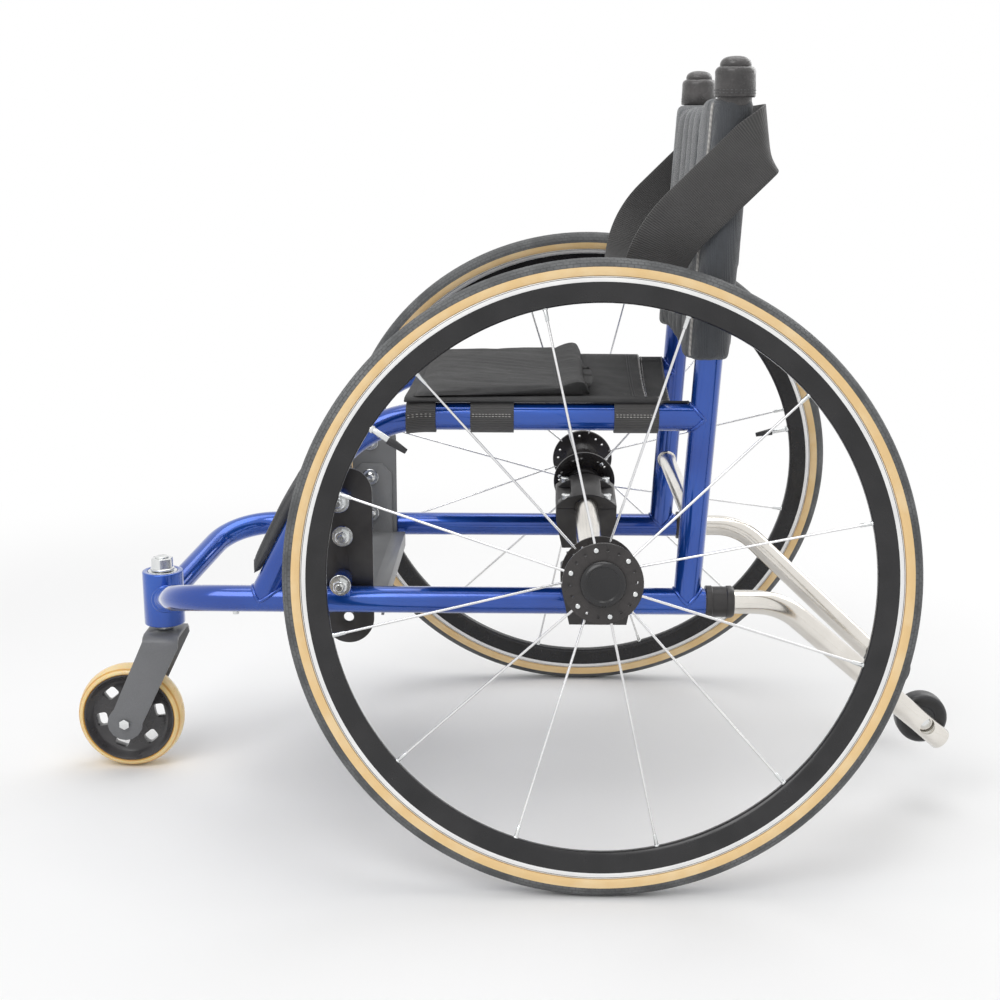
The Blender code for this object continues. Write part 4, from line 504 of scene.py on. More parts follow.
class Bench:
    """Modelling steps, done with Blender's own operators."""

    @staticmethod
    def rest() -> None:
        """Leave edit mode and let go of everything."""
        active = bpy.context.view_layer.objects.active
        if active is not None and active.mode != "OBJECT":
            bpy.ops.object.mode_set(mode="OBJECT")
        bpy.ops.object.select_all(action="DESELECT")
        bpy.context.view_layer.objects.active = None

    @classmethod
    def take(cls, *pieces: Piece) -> None:
        """Select only these pieces, the first one active."""
        cls.rest()
        for piece in pieces:
            piece.select_set(True)
        bpy.context.view_layer.objects.active = pieces[0]

    @classmethod
    def edit(cls, piece: Piece, everything: bool = True) -> None:
        """Open a piece's mesh, with all or none of it selected."""
        cls.take(piece)
        bpy.ops.object.mode_set(mode="EDIT")
        bpy.ops.mesh.select_all(action="SELECT" if everything else "DESELECT")

    @staticmethod
    def done() -> None:
        """Close the mesh that is being edited."""
        bpy.ops.object.mode_set(mode="OBJECT")

    @staticmethod
    def named(name: str) -> Piece:
        """Give the new active object and its mesh their name."""
        piece = bpy.context.view_layer.objects.active
        piece.name = name
        piece.data.name = name
        return piece

    @classmethod
    def settle(cls, piece: Piece, where: Matrix | None = None) -> None:
        """Put a piece in its place and write that place into its mesh."""
        cls.take(piece)
        if where is not None:
            piece.matrix_world = where
        bpy.ops.object.transform_apply(location=True, rotation=True, scale=True)

    @classmethod
    def shut(cls) -> None:
        """Turn all faces of the mesh that is being edited outward, and close it."""
        bpy.ops.mesh.select_all(action="SELECT")
        bpy.ops.mesh.normals_make_consistent(inside=False)
        cls.done()

    @classmethod
    def outward(cls, piece: Piece) -> None:
        """Merge doubled points, then turn all faces outward."""
        cls.edit(piece)
        bpy.ops.mesh.remove_doubles(threshold=1e-6)
        cls.shut()

    @classmethod
    def loop(cls, name: str, points: Sequence, fill: str = "NOTHING") -> Piece:
        """Start a piece as one closed loop of points, and leave it open for editing."""
        cls.rest()
        bpy.ops.mesh.primitive_circle_add(vertices=len(points), radius=1.0, fill_type=fill)
        piece = cls.named(name)
        for vertex, point in zip(piece.data.vertices, points):
            vertex.co = point
        cls.edit(piece)
        return piece

    @classmethod
    def smooth(cls, piece: Piece, angle: float = 40.0) -> None:
        """Shade smooth where faces meet at less than this angle."""
        cls.take(piece)
        bpy.ops.object.shade_smooth_by_angle(angle=math.radians(angle))

    @classmethod
    def apply(cls, piece: Piece, kind: str, **settings: object) -> None:
        """Add a modifier with these settings and apply it."""
        cls.take(piece)
        modifier = piece.modifiers.new(kind.title(), kind)
        for name, value in settings.items():
            setattr(modifier, name, value)
        bpy.ops.object.modifier_apply(modifier=modifier.name)

    @classmethod
    def bevel(cls, piece: Piece, width: float, segments: int = 2, angle: float = 32.0) -> None:
        """Round every edge that is sharper than the angle."""
        cls.apply(
            piece, "BEVEL", width=width, segments=segments, limit_method="ANGLE",
            angle_limit=math.radians(angle), use_clamp_overlap=True, miter_outer="MITER_ARC",
        )

    @classmethod
    def subdivide(cls, piece: Piece, levels: int) -> None:
        """Apply a smooth subdivision."""
        cls.apply(piece, "SUBSURF", levels=levels, render_levels=levels)

    @classmethod
    def cut(cls, piece: Piece, *cutters: Piece) -> None:
        """Cut shapes out of a piece and throw the cutters away."""
        for cutter in cutters:
            cls.apply(piece, "BOOLEAN", operation="DIFFERENCE", solver="EXACT", object=cutter)
            bpy.data.objects.remove(cutter)

    @staticmethod
    def displace(piece: Piece, shift: Callable[[Vector, Vector], Vector]) -> None:
        """Move each point of a piece by a shift that depends on its place and its normal."""
        points = piece.data.vertices
        shifts = [shift(vertex.co.copy(), vertex.normal.copy()) for vertex in points]
        for vertex, move in zip(points, shifts):
            vertex.co += move
        piece.data.update()

    @classmethod
    def join(cls, name: str, pieces: Sequence[Piece]) -> Piece:
        """Join pieces into one object with this name."""
        cls.take(*pieces)
        if len(pieces) > 1:
            bpy.ops.object.join()
        return cls.named(name)

    @classmethod
    def copy(cls, piece: Piece, name: str, where: Matrix) -> Piece:
        """A copy with its own mesh, set in a new place."""
        cls.take(piece)
        bpy.ops.object.duplicate()
        twin = cls.named(name)
        cls.settle(twin, where)
        return twin

    @classmethod
    def tube(
        cls, name: str, corners: Sequence[Vector], bends: Sequence[float], radius: float,
        sides: int = 40, stretch: float = 0.03,
    ) -> Piece:
        """Draw a round tube: a ring is extruded along each run and spun round each bend.

        Args:
            name: the piece's name.
            corners: where the tube's straight runs would meet.
            bends: the bend radius at each inner corner.
            radius: the tube's radius.
            sides: faces round the tube.
            stretch: longest face along a straight run.

        Returns:
            The closed tube.
        """
        cls.rest()
        heading = corners[1] - corners[0]
        bpy.ops.mesh.primitive_circle_add(
            vertices=sides, radius=radius, location=corners[0],
            rotation=heading.to_track_quat("Z", "Y").to_euler(),
        )
        piece = cls.named(name)
        cls.settle(piece)
        cls.edit(piece)
        here = corners[0].copy()

        def run(target: Vector) -> None:
            """Extrude straight on to a point."""
            steps = max(1, math.ceil((target - here).length / stretch))
            for _ in range(steps):
                bpy.ops.mesh.extrude_region_move(TRANSFORM_OT_translate={"value": (target - here) / steps})

        for before, corner, after, bend in zip(corners, corners[1:], corners[2:], bends):
            start, centre, turn, back, ahead = bend_at(before, corner, after, bend)
            run(start)
            bpy.ops.mesh.spin(
                steps=max(4, math.ceil(turn / math.radians(4.0))), angle=turn,
                center=centre, axis=(-back).cross(start - centre).normalized(),
            )
            here = corner + ahead * bend * math.tan(turn / 2)
        run(corners[-1])
        bpy.ops.mesh.select_all(action="SELECT")
        bpy.ops.mesh.fill_holes(sides=0)
        cls.shut()
        return piece

    @classmethod
    def turned(
        cls, name: str, profile: Outline, steps: int, where: Matrix | None = None,
        slot_at: Callable[[float, float], int] | None = None,
    ) -> Piece:
        """Spin a closed section about the local Z axis, as on a lathe.

        Args:
            name: the piece's name.
            profile: closed outline of (radius, height) points.
            steps: faces round the piece.
            where: the piece's frame, or none.
            slot_at: material slot number for a face at this radius and height.

        Returns:
            The piece, with a UV map in metres round and along its section.
        """
        piece = cls.loop(name, [(radius, 0.0, height) for radius, height in profile])
        bpy.ops.mesh.spin(steps=steps, angle=math.tau, center=(0.0, 0.0, 0.0), axis=(0.0, 0.0, 1.0))
        bpy.ops.mesh.select_all(action="SELECT")
        bpy.ops.mesh.remove_doubles(threshold=1e-6)
        bpy.ops.mesh.dissolve_degenerate(threshold=1e-7)
        cls.shut()
        cls.unroll(piece, profile)
        for face in piece.data.polygons:
            if slot_at is not None:
                face.material_index = slot_at(math.hypot(face.center.x, face.center.y), face.center.z)
        if where is not None:
            cls.settle(piece, where)
        return piece

    @staticmethod
    def unroll(piece: Piece, profile: Outline) -> None:
        """Write a UV map: metres round the piece, and metres along its section."""
        mesh = piece.data
        reach = max(radius for radius, _ in profile)
        layer = mesh.uv_layers.get("UVMap") or mesh.uv_layers.new(name="UVMap")
        lengths = [0.0]
        for first, second in zip(profile, profile[1:]):
            lengths.append(lengths[-1] + math.dist(first, second))
        for face in mesh.polygons:
            middle = math.atan2(face.center.y, face.center.x)
            for corner in face.loop_indices:
                spot = mesh.vertices[mesh.loops[corner].vertex_index].co
                angle = math.atan2(spot.y, spot.x)
                angle += math.tau * round((middle - angle) / math.tau)
                point = (math.hypot(spot.x, spot.y), spot.z)
                nearest = min(range(len(profile)), key=lambda index: math.dist(point, profile[index]))
                layer.data[corner].uv = (angle * reach, lengths[nearest])

    @classmethod
    def plate(cls, name: str, outline: Outline, depth: float, where: Matrix) -> Piece:
        """Extrude a flat outline along its local Z."""
        piece = cls.loop(name, [(x, y, 0.0) for x, y in outline], "NGON")
        bpy.ops.mesh.extrude_region_move(TRANSFORM_OT_translate={"value": (0.0, 0.0, depth)})
        cls.shut()
        cls.settle(piece, where)
        return piece

    @classmethod
    def side_plate(cls, name: str, outline: Outline, sign: float, inner: float, outer: float) -> Piece:
        """An upright plate on one side of the chair, from an outline in X and Z."""
        base = place(0.0, max(sign * inner, sign * outer), 0.0)
        return cls.plate(name, outline, outer - inner, Matrix.Translation(base) @ UPRIGHT)

    @classmethod
    def bar(
        cls, name: str, start: Vector, end: Vector, radius: float, sides: int = 24,
        tip: float | None = None,
    ) -> Piece:
        """A straight round bar or taper between two points."""
        cls.rest()
        along = end - start
        bpy.ops.mesh.primitive_cone_add(
            vertices=sides, radius1=radius, radius2=radius if tip is None else tip,
            depth=along.length, location=(start + end) / 2,
            rotation=along.to_track_quat("Z", "Y").to_euler(),
        )
        piece = cls.named(name)
        cls.settle(piece)
        return piece

    @classmethod
    def block(cls, name: str, low: Sequence[float], high: Sequence[float]) -> Piece:
        """A box between two corners, used as a cutter."""
        cls.rest()
        low, high = Vector(low), Vector(high)
        bpy.ops.mesh.primitive_cube_add(size=1.0, location=(low + high) / 2, scale=high - low)
        piece = cls.named(name)
        cls.settle(piece)
        return piece

    @classmethod
    def line(
        cls, name: str, points: Sequence[Vector], radius: float, closed: bool = False, sides: int = 5,
    ) -> Piece:
        """A thin round line through points: a weld bead, a piping or a seam."""
        cls.rest()
        curve = bpy.data.curves.new(name, "CURVE")
        curve.dimensions = "3D"
        curve.bevel_depth = radius
        curve.bevel_resolution = max(1, sides - 3)
        curve.use_fill_caps = True
        spline = curve.splines.new("POLY")
        spline.points.add(len(points) - 1)
        for knot, point in zip(spline.points, points):
            knot.co = (*point, 1.0)
        spline.use_cyclic_u = closed
        guide = bpy.data.objects.new(name, curve)
        bpy.context.scene.collection.objects.link(guide)
        cls.take(guide)
        bpy.ops.object.convert(target="MESH")
        piece = cls.named(name)
        cls.outward(piece)
        return piece

    @classmethod
    def sheet(
        cls, name: str, across: int, along: int, spot: Callable[[float, float], Vector],
        size: tuple[float, float],
    ) -> Piece:
        """Lay a grid of cloth through points.

        Args:
            name: the piece's name.
            across: faces across its width.
            along: faces along its length.
            spot: the place of a point from its share of width and of length.
            size: the cloth's width and length, for its UV map in metres.

        Returns:
            The cloth as one open surface.
        """
        cls.rest()
        bpy.ops.mesh.primitive_grid_add(x_subdivisions=across, y_subdivisions=along, size=1.0)
        piece = cls.named(name)
        for corner in piece.data.uv_layers[0].data:
            corner.uv = (corner.uv[0] * size[0], corner.uv[1] * size[1])
        rows = {corner.uv[1] for corner in piece.data.uv_layers[0].data}
        for vertex in piece.data.vertices:
            vertex.co = spot(vertex.co.x + 0.5, vertex.co.y + 0.5)
        middle = [piece.data.vertices[row * (across + 1) + across // 2].co for row in range(along + 1)]
        lengths = [0.0]
        for first, second in zip(middle, middle[1:]):
            lengths.append(lengths[-1] + (second - first).length)
        step = max(rows) / along
        for corner in piece.data.uv_layers[0].data:
            corner.uv = (corner.uv[0], lengths[round(corner.uv[1] / step)])
        return piece

    @classmethod
    def thicken(cls, piece: Piece, thickness: float, outer: Vector) -> None:
        """Give an open cloth its thickness behind the side whose farthest face looks towards outer."""
        top = max(piece.data.polygons, key=lambda face: face.center.dot(outer))
        if top.normal.dot(outer) < 0.0:
            cls.edit(piece)
            bpy.ops.mesh.flip_normals()
            cls.done()
        cls.apply(piece, "SOLIDIFY", thickness=thickness, offset=-1.0, use_even_offset=True)

    @classmethod
    def carried(cls, name: str, node: str, width: float = 0.0005) -> Piece:
        """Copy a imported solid, merge its loose triangles and round its edges.

        Args:
            name: the new piece's name.
            node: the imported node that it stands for.
            width: the edges' rounding, or zero.

        Returns:
            The copy.
        """
        cls.rest()
        piece = bpy.data.objects.new(name, frame["nodes"][node].data.copy())
        bpy.context.scene.collection.objects.link(piece)
        piece.data.materials.clear()
        cls.edit(piece)
        bpy.ops.mesh.remove_doubles(threshold=2e-6)
        bpy.ops.mesh.dissolve_limited(angle_limit=math.radians(0.6))
        cls.done()
        if width > 0.0:
            cls.bevel(piece, width)
        cls.smooth(piece, HARD)
        return piece


class Dresser:
    """Gives each finished piece its material and the body it moves with, and hides the nodes it stands for.
    """

    count = 0

    @classmethod
    def dress(
        cls, piece: Piece, body: str, finishes: Finish | Sequence[Finish],
        nodes: Iterable[str] = (), angle: float | None = 40.0,
    ) -> Piece:
        """Finish one piece.

        Args:
            piece: the piece, in place.
            body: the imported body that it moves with.
            finishes: its finish, or one for each of its material slots.
            nodes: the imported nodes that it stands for.
            angle: edges sharper than this stay sharp; none leaves the shading alone.

        Returns:
            The piece.
        """
        finishes = [finishes] if isinstance(finishes, Finish) else list(finishes)
        indices = [face.material_index for face in piece.data.polygons]
        piece.data.materials.clear()
        for finish in finishes:
            piece.data.materials.append(finish.material())
        for face, index in zip(piece.data.polygons, indices):
            face.material_index = min(index, len(finishes) - 1)
        if angle is not None:
            Bench.smooth(piece, angle)
        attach(piece, body)
        for node in nodes:
            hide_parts(node)
        cls.count += 1
        log.info("%s rides on %s, %d faces", piece.name, body, len(piece.data.polygons))
        return piece

    @classmethod
    def carry(
        cls, node: str, body: str, finish: Finish, width: float = 0.0005, label: str = "dressed",
        angle: float = HARD,
    ) -> None:
        """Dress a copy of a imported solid, its edges rounded by width."""
        cls.dress(Bench.carried(f"{node}_{label}", node, width), body, finish, [node], angle)


def saddle(
    foot: Vector, along: Vector, radius: float, post: Vector, post_along: Vector, post_radius: float,
) -> list[Vector]:
    """The line where one tube's skin meets another's.

    Args:
        foot: a point on the first tube's axis.
        along: the first tube's direction, away from the other.
        radius: the first tube's radius.
        post: a point on the other tube's axis.
        post_along: the other tube's direction.
        post_radius: the other tube's radius.

    Returns:
        Points round the joint.
    """
    along, post_along = along.normalized(), post_along.normalized()
    side = along.orthogonal().normalized()
    other = along.cross(side)
    flat = along - post_along * along.dot(post_along)
    points = []
    for step in range(48):
        angle = math.tau * step / 48
        start = foot + (side * math.cos(angle) + other * math.sin(angle)) * radius
        offset = start - post
        offset -= post_along * offset.dot(post_along)
        a, b = flat.length_squared, 2.0 * offset.dot(flat)
        c = offset.length_squared - post_radius ** 2
        root = math.sqrt(max(0.0, b * b - 4.0 * a * c))
        points.append(start + along * ((-b + root) / (2.0 * a)))
    return points


# --------------------------------------------------------------------------- drive wheels


@dataclass
class DriveWheel:
    """A cambered drive wheel: tyre, rim, spokes, hub, cap and valve."""

    side: str
    spoke_angle: float = 42.2
    camber: float = math.radians(10.0)
    half_track: float = 0.270
    ring_radius: float = 0.3075
    section: float = 0.0125
    tread_start: float = 0.3088
    rim_edge: float = 0.301
    rim_track: float = 0.295
    rim_nose: float = 0.275
    rim_half: float = 0.0095
    nose_half: float = 0.004
    flange_radius: float = 0.040
    flange_thickness: float = 0.0036
    outer_flange: float = 0.0344
    inner_flange: float = 0.0463
    hole_circle: float = 0.033
    hole_radius: float = 0.0016
    drill: float = 0.006
    spoke_count: int = 12
    spoke_radius: float = 0.0013
    nipple_length: float = 0.0145
    valve_angle: float = 147.0
    stem_end: float = 0.2505
    ring_end: float = 0.2722
    valve_cap: tuple[float, float] = (0.2545, 0.2330)
    tread_rise: float = 0.00035

    @property
    def body(self) -> str:
        """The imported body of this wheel."""
        return f"drive_wheel_{self.side}"

    @property
    def frame(self) -> Matrix:
        """Local Z points outward along the leaning axle, local Y upward."""
        sign = SIDES[self.side]
        outward = Vector((0.0, sign * math.cos(self.camber), math.sin(self.camber)))
        across = Vector((-sign, 0.0, 0.0))
        turn = Matrix((across, outward.cross(across), outward)).transposed().to_4x4()
        return Matrix.Translation(place(0.0, sign * self.half_track, AXLE_Z)) @ turn

    def build(self) -> None:
        """Make every piece of the wheel."""
        self.tyre()
        self.rim()
        self.hub()
        self.cap()
        self.spokes()
        self.valve()

    def tyre(self) -> None:
        """A round tyre with a dark tread band and tan walls."""
        neck = self.rim_half - 0.002
        seat = self.rim_edge - 0.0062
        shoulder = self.rim_edge + GAP
        reach = math.degrees(math.acos((self.ring_radius - shoulder) / self.section))
        round_part = arc((self.ring_radius, 0.0), self.section, reach - 180.0, 180.0 - reach, 36)
        lifted = []
        for radius, height in round_part:
            banded = radius > self.tread_start + 0.0006
            scale = 1.0 if banded else (self.section - self.tread_rise) / self.section
            lifted.append((self.ring_radius + (radius - self.ring_radius) * scale, height * scale))
        profile = [(seat, -neck), (shoulder, -neck), *lifted, (shoulder, neck), (seat, neck)]
        tyre = Bench.turned(
            f"tyre_{self.side}_dressed", profile, 180, self.frame,
            lambda radius, height: 0 if radius > self.tread_start + 0.0003 else 1,
        )
        Dresser.dress(tyre, self.body, (TYRE_TREAD, TYRE_WALL), [f"tyre_{self.side}"], CRISP)

    def rim(self) -> None:
        """A deep gloss rim with a machined brake track and a thin wear line in it."""
        half, nose = self.rim_half, self.nose_half
        inner = half - 0.0017
        channel = self.rim_edge - 0.0065
        bulge = [
            (self.rim_track - 0.0003, half - 0.0003),
            (self.rim_track - 0.0045, half - 0.0012),
            (self.rim_track - 0.0105, half - 0.0029),
            (self.rim_nose + 0.0045, nose + 0.0014),
            (self.rim_nose + 0.0014, nose + 0.0002),
            (self.rim_nose + 0.0003, nose - 0.0012),
        ]
        line = self.rim_edge - 0.0012
        wall = [
            (self.rim_edge, inner + 0.0003), (self.rim_edge, half - 0.0003), (self.rim_edge - 0.0003, half),
            (line + 0.0004, half), (line + 0.0002, half - 0.0003), (line - 0.0002, half - 0.0003),
            (line - 0.0004, half), (self.rim_track + 0.0026, half), (self.rim_track + 0.0003, half), *bulge,
        ]
        profile = mirror([(channel, inner), *wall])

        def slot_at(radius: float, height: float) -> int:
            """Machined on the track, dark in its line, gloss elsewhere."""
            if radius < self.rim_track + 0.0001:
                return 0
            return 0 if abs(radius - line) < 0.00025 or abs(height) < inner else 1

        rim = Bench.turned(f"rim_{self.side}_dressed", profile, 180, self.frame, slot_at)
        Dresser.dress(rim, self.body, (GLOSS_BLACK, BRAKE_TRACK), [f"rim_{self.side}"], CRISP)

    def hub(self) -> None:
        """Two drilled flanges on a waisted barrel."""
        bore, neck, barrel = 0.0068, 0.0225, 0.0165
        inner, outer = -self.inner_flange, self.outer_flange
        half = self.flange_thickness / 2
        face, chamfer, edge = outer + half, 0.0006, self.flange_radius
        low, high = inner + half, outer - half
        profile = [
            (bore, inner - half - 0.0065), (bore, face), (edge - chamfer, face), (edge, face - chamfer),
            (edge, high + chamfer), (edge - chamfer, high), (neck + 0.003, high), (neck, high - 0.001),
            (barrel + 0.002, high - 0.006), (barrel, high - 0.012), (barrel, low + 0.012),
            (barrel + 0.002, low + 0.006), (neck, low + 0.001), (neck + 0.003, low), (edge - chamfer, low),
            (edge, low - chamfer), (edge, inner - half + chamfer), (edge - chamfer, inner - half),
            (0.0205, inner - half), (0.0185, inner - half - 0.0055), (barrel, inner - half - 0.0065),
        ]
        hub = Bench.turned(f"hub_{self.side}_dressed", profile, 96)
        holes = []
        for step in (step for step in range(18) if step % 3 != 0):
            angle = math.radians(self.spoke_angle + 20.0 * step)
            x, y = self.hole_circle * math.cos(angle), self.hole_circle * math.sin(angle)
            for level in (outer, inner):
                ends = [Vector((x, y, level - self.drill)), Vector((x, y, level + self.drill))]
                holes.append(Bench.bar("hole", *ends, self.hole_radius, 16))
        Bench.cut(hub, Bench.join("holes", holes))
        Bench.settle(hub, self.frame)
        Dresser.dress(hub, self.body, HUB_SATIN, [f"spoked_hub_{self.side}"], 30.0)

    def cap(self) -> None:
        """The hub cap: a chamfered ring about a shallow dished face, left bare."""
        low = self.outer_flange + self.flange_thickness / 2 + GAP
        profile = [
            (0.0, low + 0.0055), (0.0, low + 0.0066), (0.009, low + 0.0068), (0.0148, low + 0.0074),
            (0.0160, low + 0.0072), (0.0168, low + 0.0078), (0.0176, low + 0.0085), (0.0188, low + 0.0084),
            (0.0222, low + 0.0056), (0.0226, low + 0.0048), (0.0226, low + 0.0004), (0.0222, low),
            (0.016, low), (0.016, low + 0.0055),
        ]
        cap = Bench.turned(f"hub_cap_{self.side}_dressed", profile, 96, self.frame)
        Dresser.dress(cap, self.body, GLOSS_BLACK, [f"hub_cap_{self.side}"])

    def spokes(self) -> None:
        """Straight spokes by turns from each flange, with nipples, and heads on the outer flange."""
        shafts, nipples, heads = [], [], []
        face = self.outer_flange + self.flange_thickness / 2
        for index in range(self.spoke_count):
            angle = math.radians(self.spoke_angle) + math.tau * index / self.spoke_count
            offset = self.outer_flange if index % 2 == 0 else -self.inner_flange
            radial = Vector((math.cos(angle), math.sin(angle), 0.0))
            spot = radial * self.hole_circle
            foot = spot + UP * offset
            seat = radial * (self.rim_nose + 0.002)
            back = (foot - seat).normalized()
            shafts.append(Bench.bar("shaft", foot, seat + back * 0.004, self.spoke_radius, 14))
            nipples.append(Bench.bar("nipple", seat, seat + back * self.nipple_length, 0.0022, 14, 0.0019))
            nipples.append(Bench.bar("collar", seat, seat + back * 0.0034, 0.0029, 14, 0.0026))
            skin = face if index % 2 == 0 else -self.inner_flange - self.flange_thickness / 2
            lift = 0.0022 if index % 2 == 0 else -0.0022
            start, end = spot + UP * (skin - lift * 0.3), spot + UP * (skin + lift)
            heads.append(Bench.bar("head", start, end, 0.0034, 20, 0.0022))
        groups = {"spokes": shafts, "nipples": nipples, "spoke_heads": heads}
        for name, parts in groups.items():
            piece = Bench.join(f"{name}_{self.side}", parts)
            if name != "spokes":
                Bench.bevel(piece, 0.0004, 2)
            Bench.settle(piece, self.frame)
            Dresser.dress(piece, self.body, SPOKE_STEEL if name == "spokes" else ZINC, (), CRISP)

    def valve(self) -> None:
        """A nickel valve stem with a ring nut and a black dust cap."""
        angle = math.radians(self.valve_angle)
        radial = Vector((math.cos(angle), math.sin(angle), 0.0))

        def at(radius: float) -> Vector:
            """A point on the valve's line."""
            return radial * radius

        stem = Bench.join(f"valve_{self.side}", [
            Bench.bar("stem", at(self.rim_nose + 0.003), at(self.stem_end), 0.0032, 20),
            Bench.bar("ring", at(self.rim_nose + 0.001), at(self.ring_end), 0.0044, 6),
        ])
        ends = [at(radius) for radius in self.valve_cap]
        cap = Bench.bar(f"valve_cap_{self.side}", *ends, 0.0046, 20, 0.0027)
        for piece, edge, finish in ((stem, 0.0004, ZINC), (cap, 0.0005, BLACK_RUBBER)):
            Bench.bevel(piece, edge)
            Bench.settle(piece, self.frame)
            Dresser.dress(piece, self.body, finish)


# --------------------------------------------------------------------------- frame


@dataclass
class WeldedFrame:
    """The painted tube frame: lower rails, seat rails with legs, posts, brace and housing."""

    radius: float = TUBE_RADIUS
    half_width: float = HALF_WIDTH
    rail_height: float = RAIL_HEIGHT
    rail_rear: float = RAIL_REAR
    rail_corner: float = -0.451
    rail_bend: float = 0.076
    rail_end_height: float = 0.209
    housing_x: float = HOUSING_X
    housing_radius: float = 0.024
    housing_low: float = 0.1805
    housing_high: float = 0.245
    seat_height: float = SEAT_HEIGHT
    leg_angle: float = math.radians(62.2)
    leg_foot: float = -0.3602
    leg_bend: float = LEG_BEND
    post_foot: float = 0.096
    post_lean: float = math.radians(3.5)
    post_top: float = 0.802
    brace_height: float = 0.350
    brace_radius: float = 0.010
    bolt_x: float = BOLT_X
    bolt_low: float = 0.281
    bolt_top: float = 0.372
    lug_half: float = 0.0108
    lug_reach: float = LUG_REACH
    bead: float = 0.0021
    screw_x: float = -0.388
    screw_levels: tuple[float, float] = (0.2496, 0.2446)

    @property
    def post_along(self) -> Vector:
        """Direction up along the back posts."""
        return Vector((math.tan(self.post_lean), 0.0, 1.0))

    @property
    def leg_along(self) -> Vector:
        """Direction up along the front legs."""
        return Vector((math.cos(self.leg_angle), 0.0, math.sin(self.leg_angle)))

    def post_x(self, height: float) -> float:
        """Where the back post's axis is at this height."""
        return self.post_foot + (height - self.rail_height) * math.tan(self.post_lean)

    def leg_x(self, height: float) -> float:
        """Where the front leg's axis is at this height."""
        return self.leg_foot + (height - self.rail_height) / math.tan(self.leg_angle)

    def build(self) -> None:
        """Make every piece of the frame."""
        for name, sign in SIDES.items():
            self.lower_rail(name, sign)
            self.seat_rail(name, sign)
            self.post(name, sign)
            self.welds(name, sign)
        self.brace()
        self.housing()

    def rail_run(self, sign: float) -> tuple[Vector, Vector]:
        """The bent corner of a lower rail, and its direction on to the housing."""
        corner = place(self.rail_corner, sign * self.half_width, self.rail_height)
        ahead = place(self.housing_x, 0.0, self.rail_end_height) - corner
        return corner, ahead

    def lower_rail(self, name: str, sign: float) -> None:
        """A rail that runs level and bends in and down to the caster housing, with its lug."""
        corner, ahead = self.rail_run(sign)
        level = math.hypot(ahead.x, ahead.y) / ahead.length
        end = corner + ahead * (1.0 - 0.0185 / level / ahead.length)
        line = [place(self.rail_rear, sign * self.half_width, self.rail_height), corner, end]
        rail = Bench.tube(f"lower_rail_{name}_painted", line, [self.rail_bend], self.radius, 48)
        Dresser.dress(rail, "frame", CANDY_BLUE, [f"lower_rail_{name}"])
        width = self.lug_half
        outline = [(self.bolt_x - width, self.rail_height), (self.bolt_x + width, self.rail_height)]
        outline += arc((self.bolt_x, self.bolt_low), width, 0.0, 180.0, 20)
        self.lug(f"lug_low_{name}", outline, sign)
        top, foot = (place(self.screw_x, sign * self.half_width, level) for level in self.screw_levels)
        screw = Bench.bar(f"rail_screw_{name}", top, foot, 0.0042, 24, 0.0032)
        Bench.bevel(screw, 0.0005)
        Dresser.dress(screw, "frame", ZINC)

    def lug(self, name: str, outline: Outline, sign: float) -> None:
        """A thick painted lug with rounded edges, proud of the tube's outer side."""
        inner, outer = self.half_width - self.radius, self.half_width + self.lug_reach
        lug = Bench.side_plate(name, outline, sign, inner, outer)
        Bench.bevel(lug, 0.0016, 3, 40.0)
        Dresser.dress(lug, "frame", CANDY_BLUE)

    def seat_rail(self, name: str, sign: float) -> None:
        """A seat rail that bends down into its front leg, with the upper lug."""
        y = sign * self.half_width
        corners = [
            place(self.leg_foot, y, self.rail_height),
            place(self.leg_x(self.seat_height), y, self.seat_height),
            place(self.post_x(self.seat_height), y, self.seat_height),
        ]
        rail = Bench.tube(f"seat_rail_{name}_painted", corners, [self.leg_bend], self.radius, 48)
        Dresser.dress(rail, "frame", CANDY_BLUE, [f"seat_rail_{name}"])
        width = self.lug_half
        root = self.leg_x(self.bolt_top)
        outline = [(root, self.bolt_top + width), (root, self.bolt_top - width)]
        outline += arc((self.bolt_x, self.bolt_top), width, -90.0, 90.0, 20)
        self.lug(f"lug_top_{name}", outline, sign)

    def post(self, name: str, sign: float) -> None:
        """A back post, leaning to the rear."""
        y = sign * self.half_width
        foot = place(self.post_foot, y, self.rail_height)
        head = place(self.post_x(self.post_top), y, self.post_top)
        post = Bench.tube(f"back_post_{name}_painted", [foot, head], [], self.radius, 48)
        Dresser.dress(post, "frame", CANDY_BLUE, [f"back_post_{name}"])

    def welds(self, name: str, sign: float) -> None:
        """Painted weld beads round each joint of one side."""
        y = sign * self.half_width
        rail = (place(0.0, y, self.rail_height), REAR, self.radius)
        foot = place(self.post_foot, y, self.rail_height)
        leg_foot = place(self.leg_foot, y, self.rail_height)
        seat_end = place(self.post_x(self.seat_height), y, self.seat_height)
        corner, ahead = self.rail_run(sign)
        housing = (place(self.housing_x, 0.0, 0.0), UP, self.housing_radius)
        lines = [
            saddle(leg_foot, self.leg_along, self.radius, *rail),
            saddle(foot, self.post_along, self.radius, *rail),
            saddle(seat_end, -REAR, self.radius, foot, self.post_along, self.radius),
            saddle(corner + ahead, -ahead, self.radius, *housing),
        ]
        beads = [Bench.line("bead", points, self.bead, True) for points in lines]
        welds = Bench.join(f"welds_{name}", beads)
        Bench.displace(welds, lambda point, normal: normal * 0.0003 * noise.noise(point * 420.0))
        Dresser.dress(welds, "frame", CANDY_BLUE, (), SOFT)

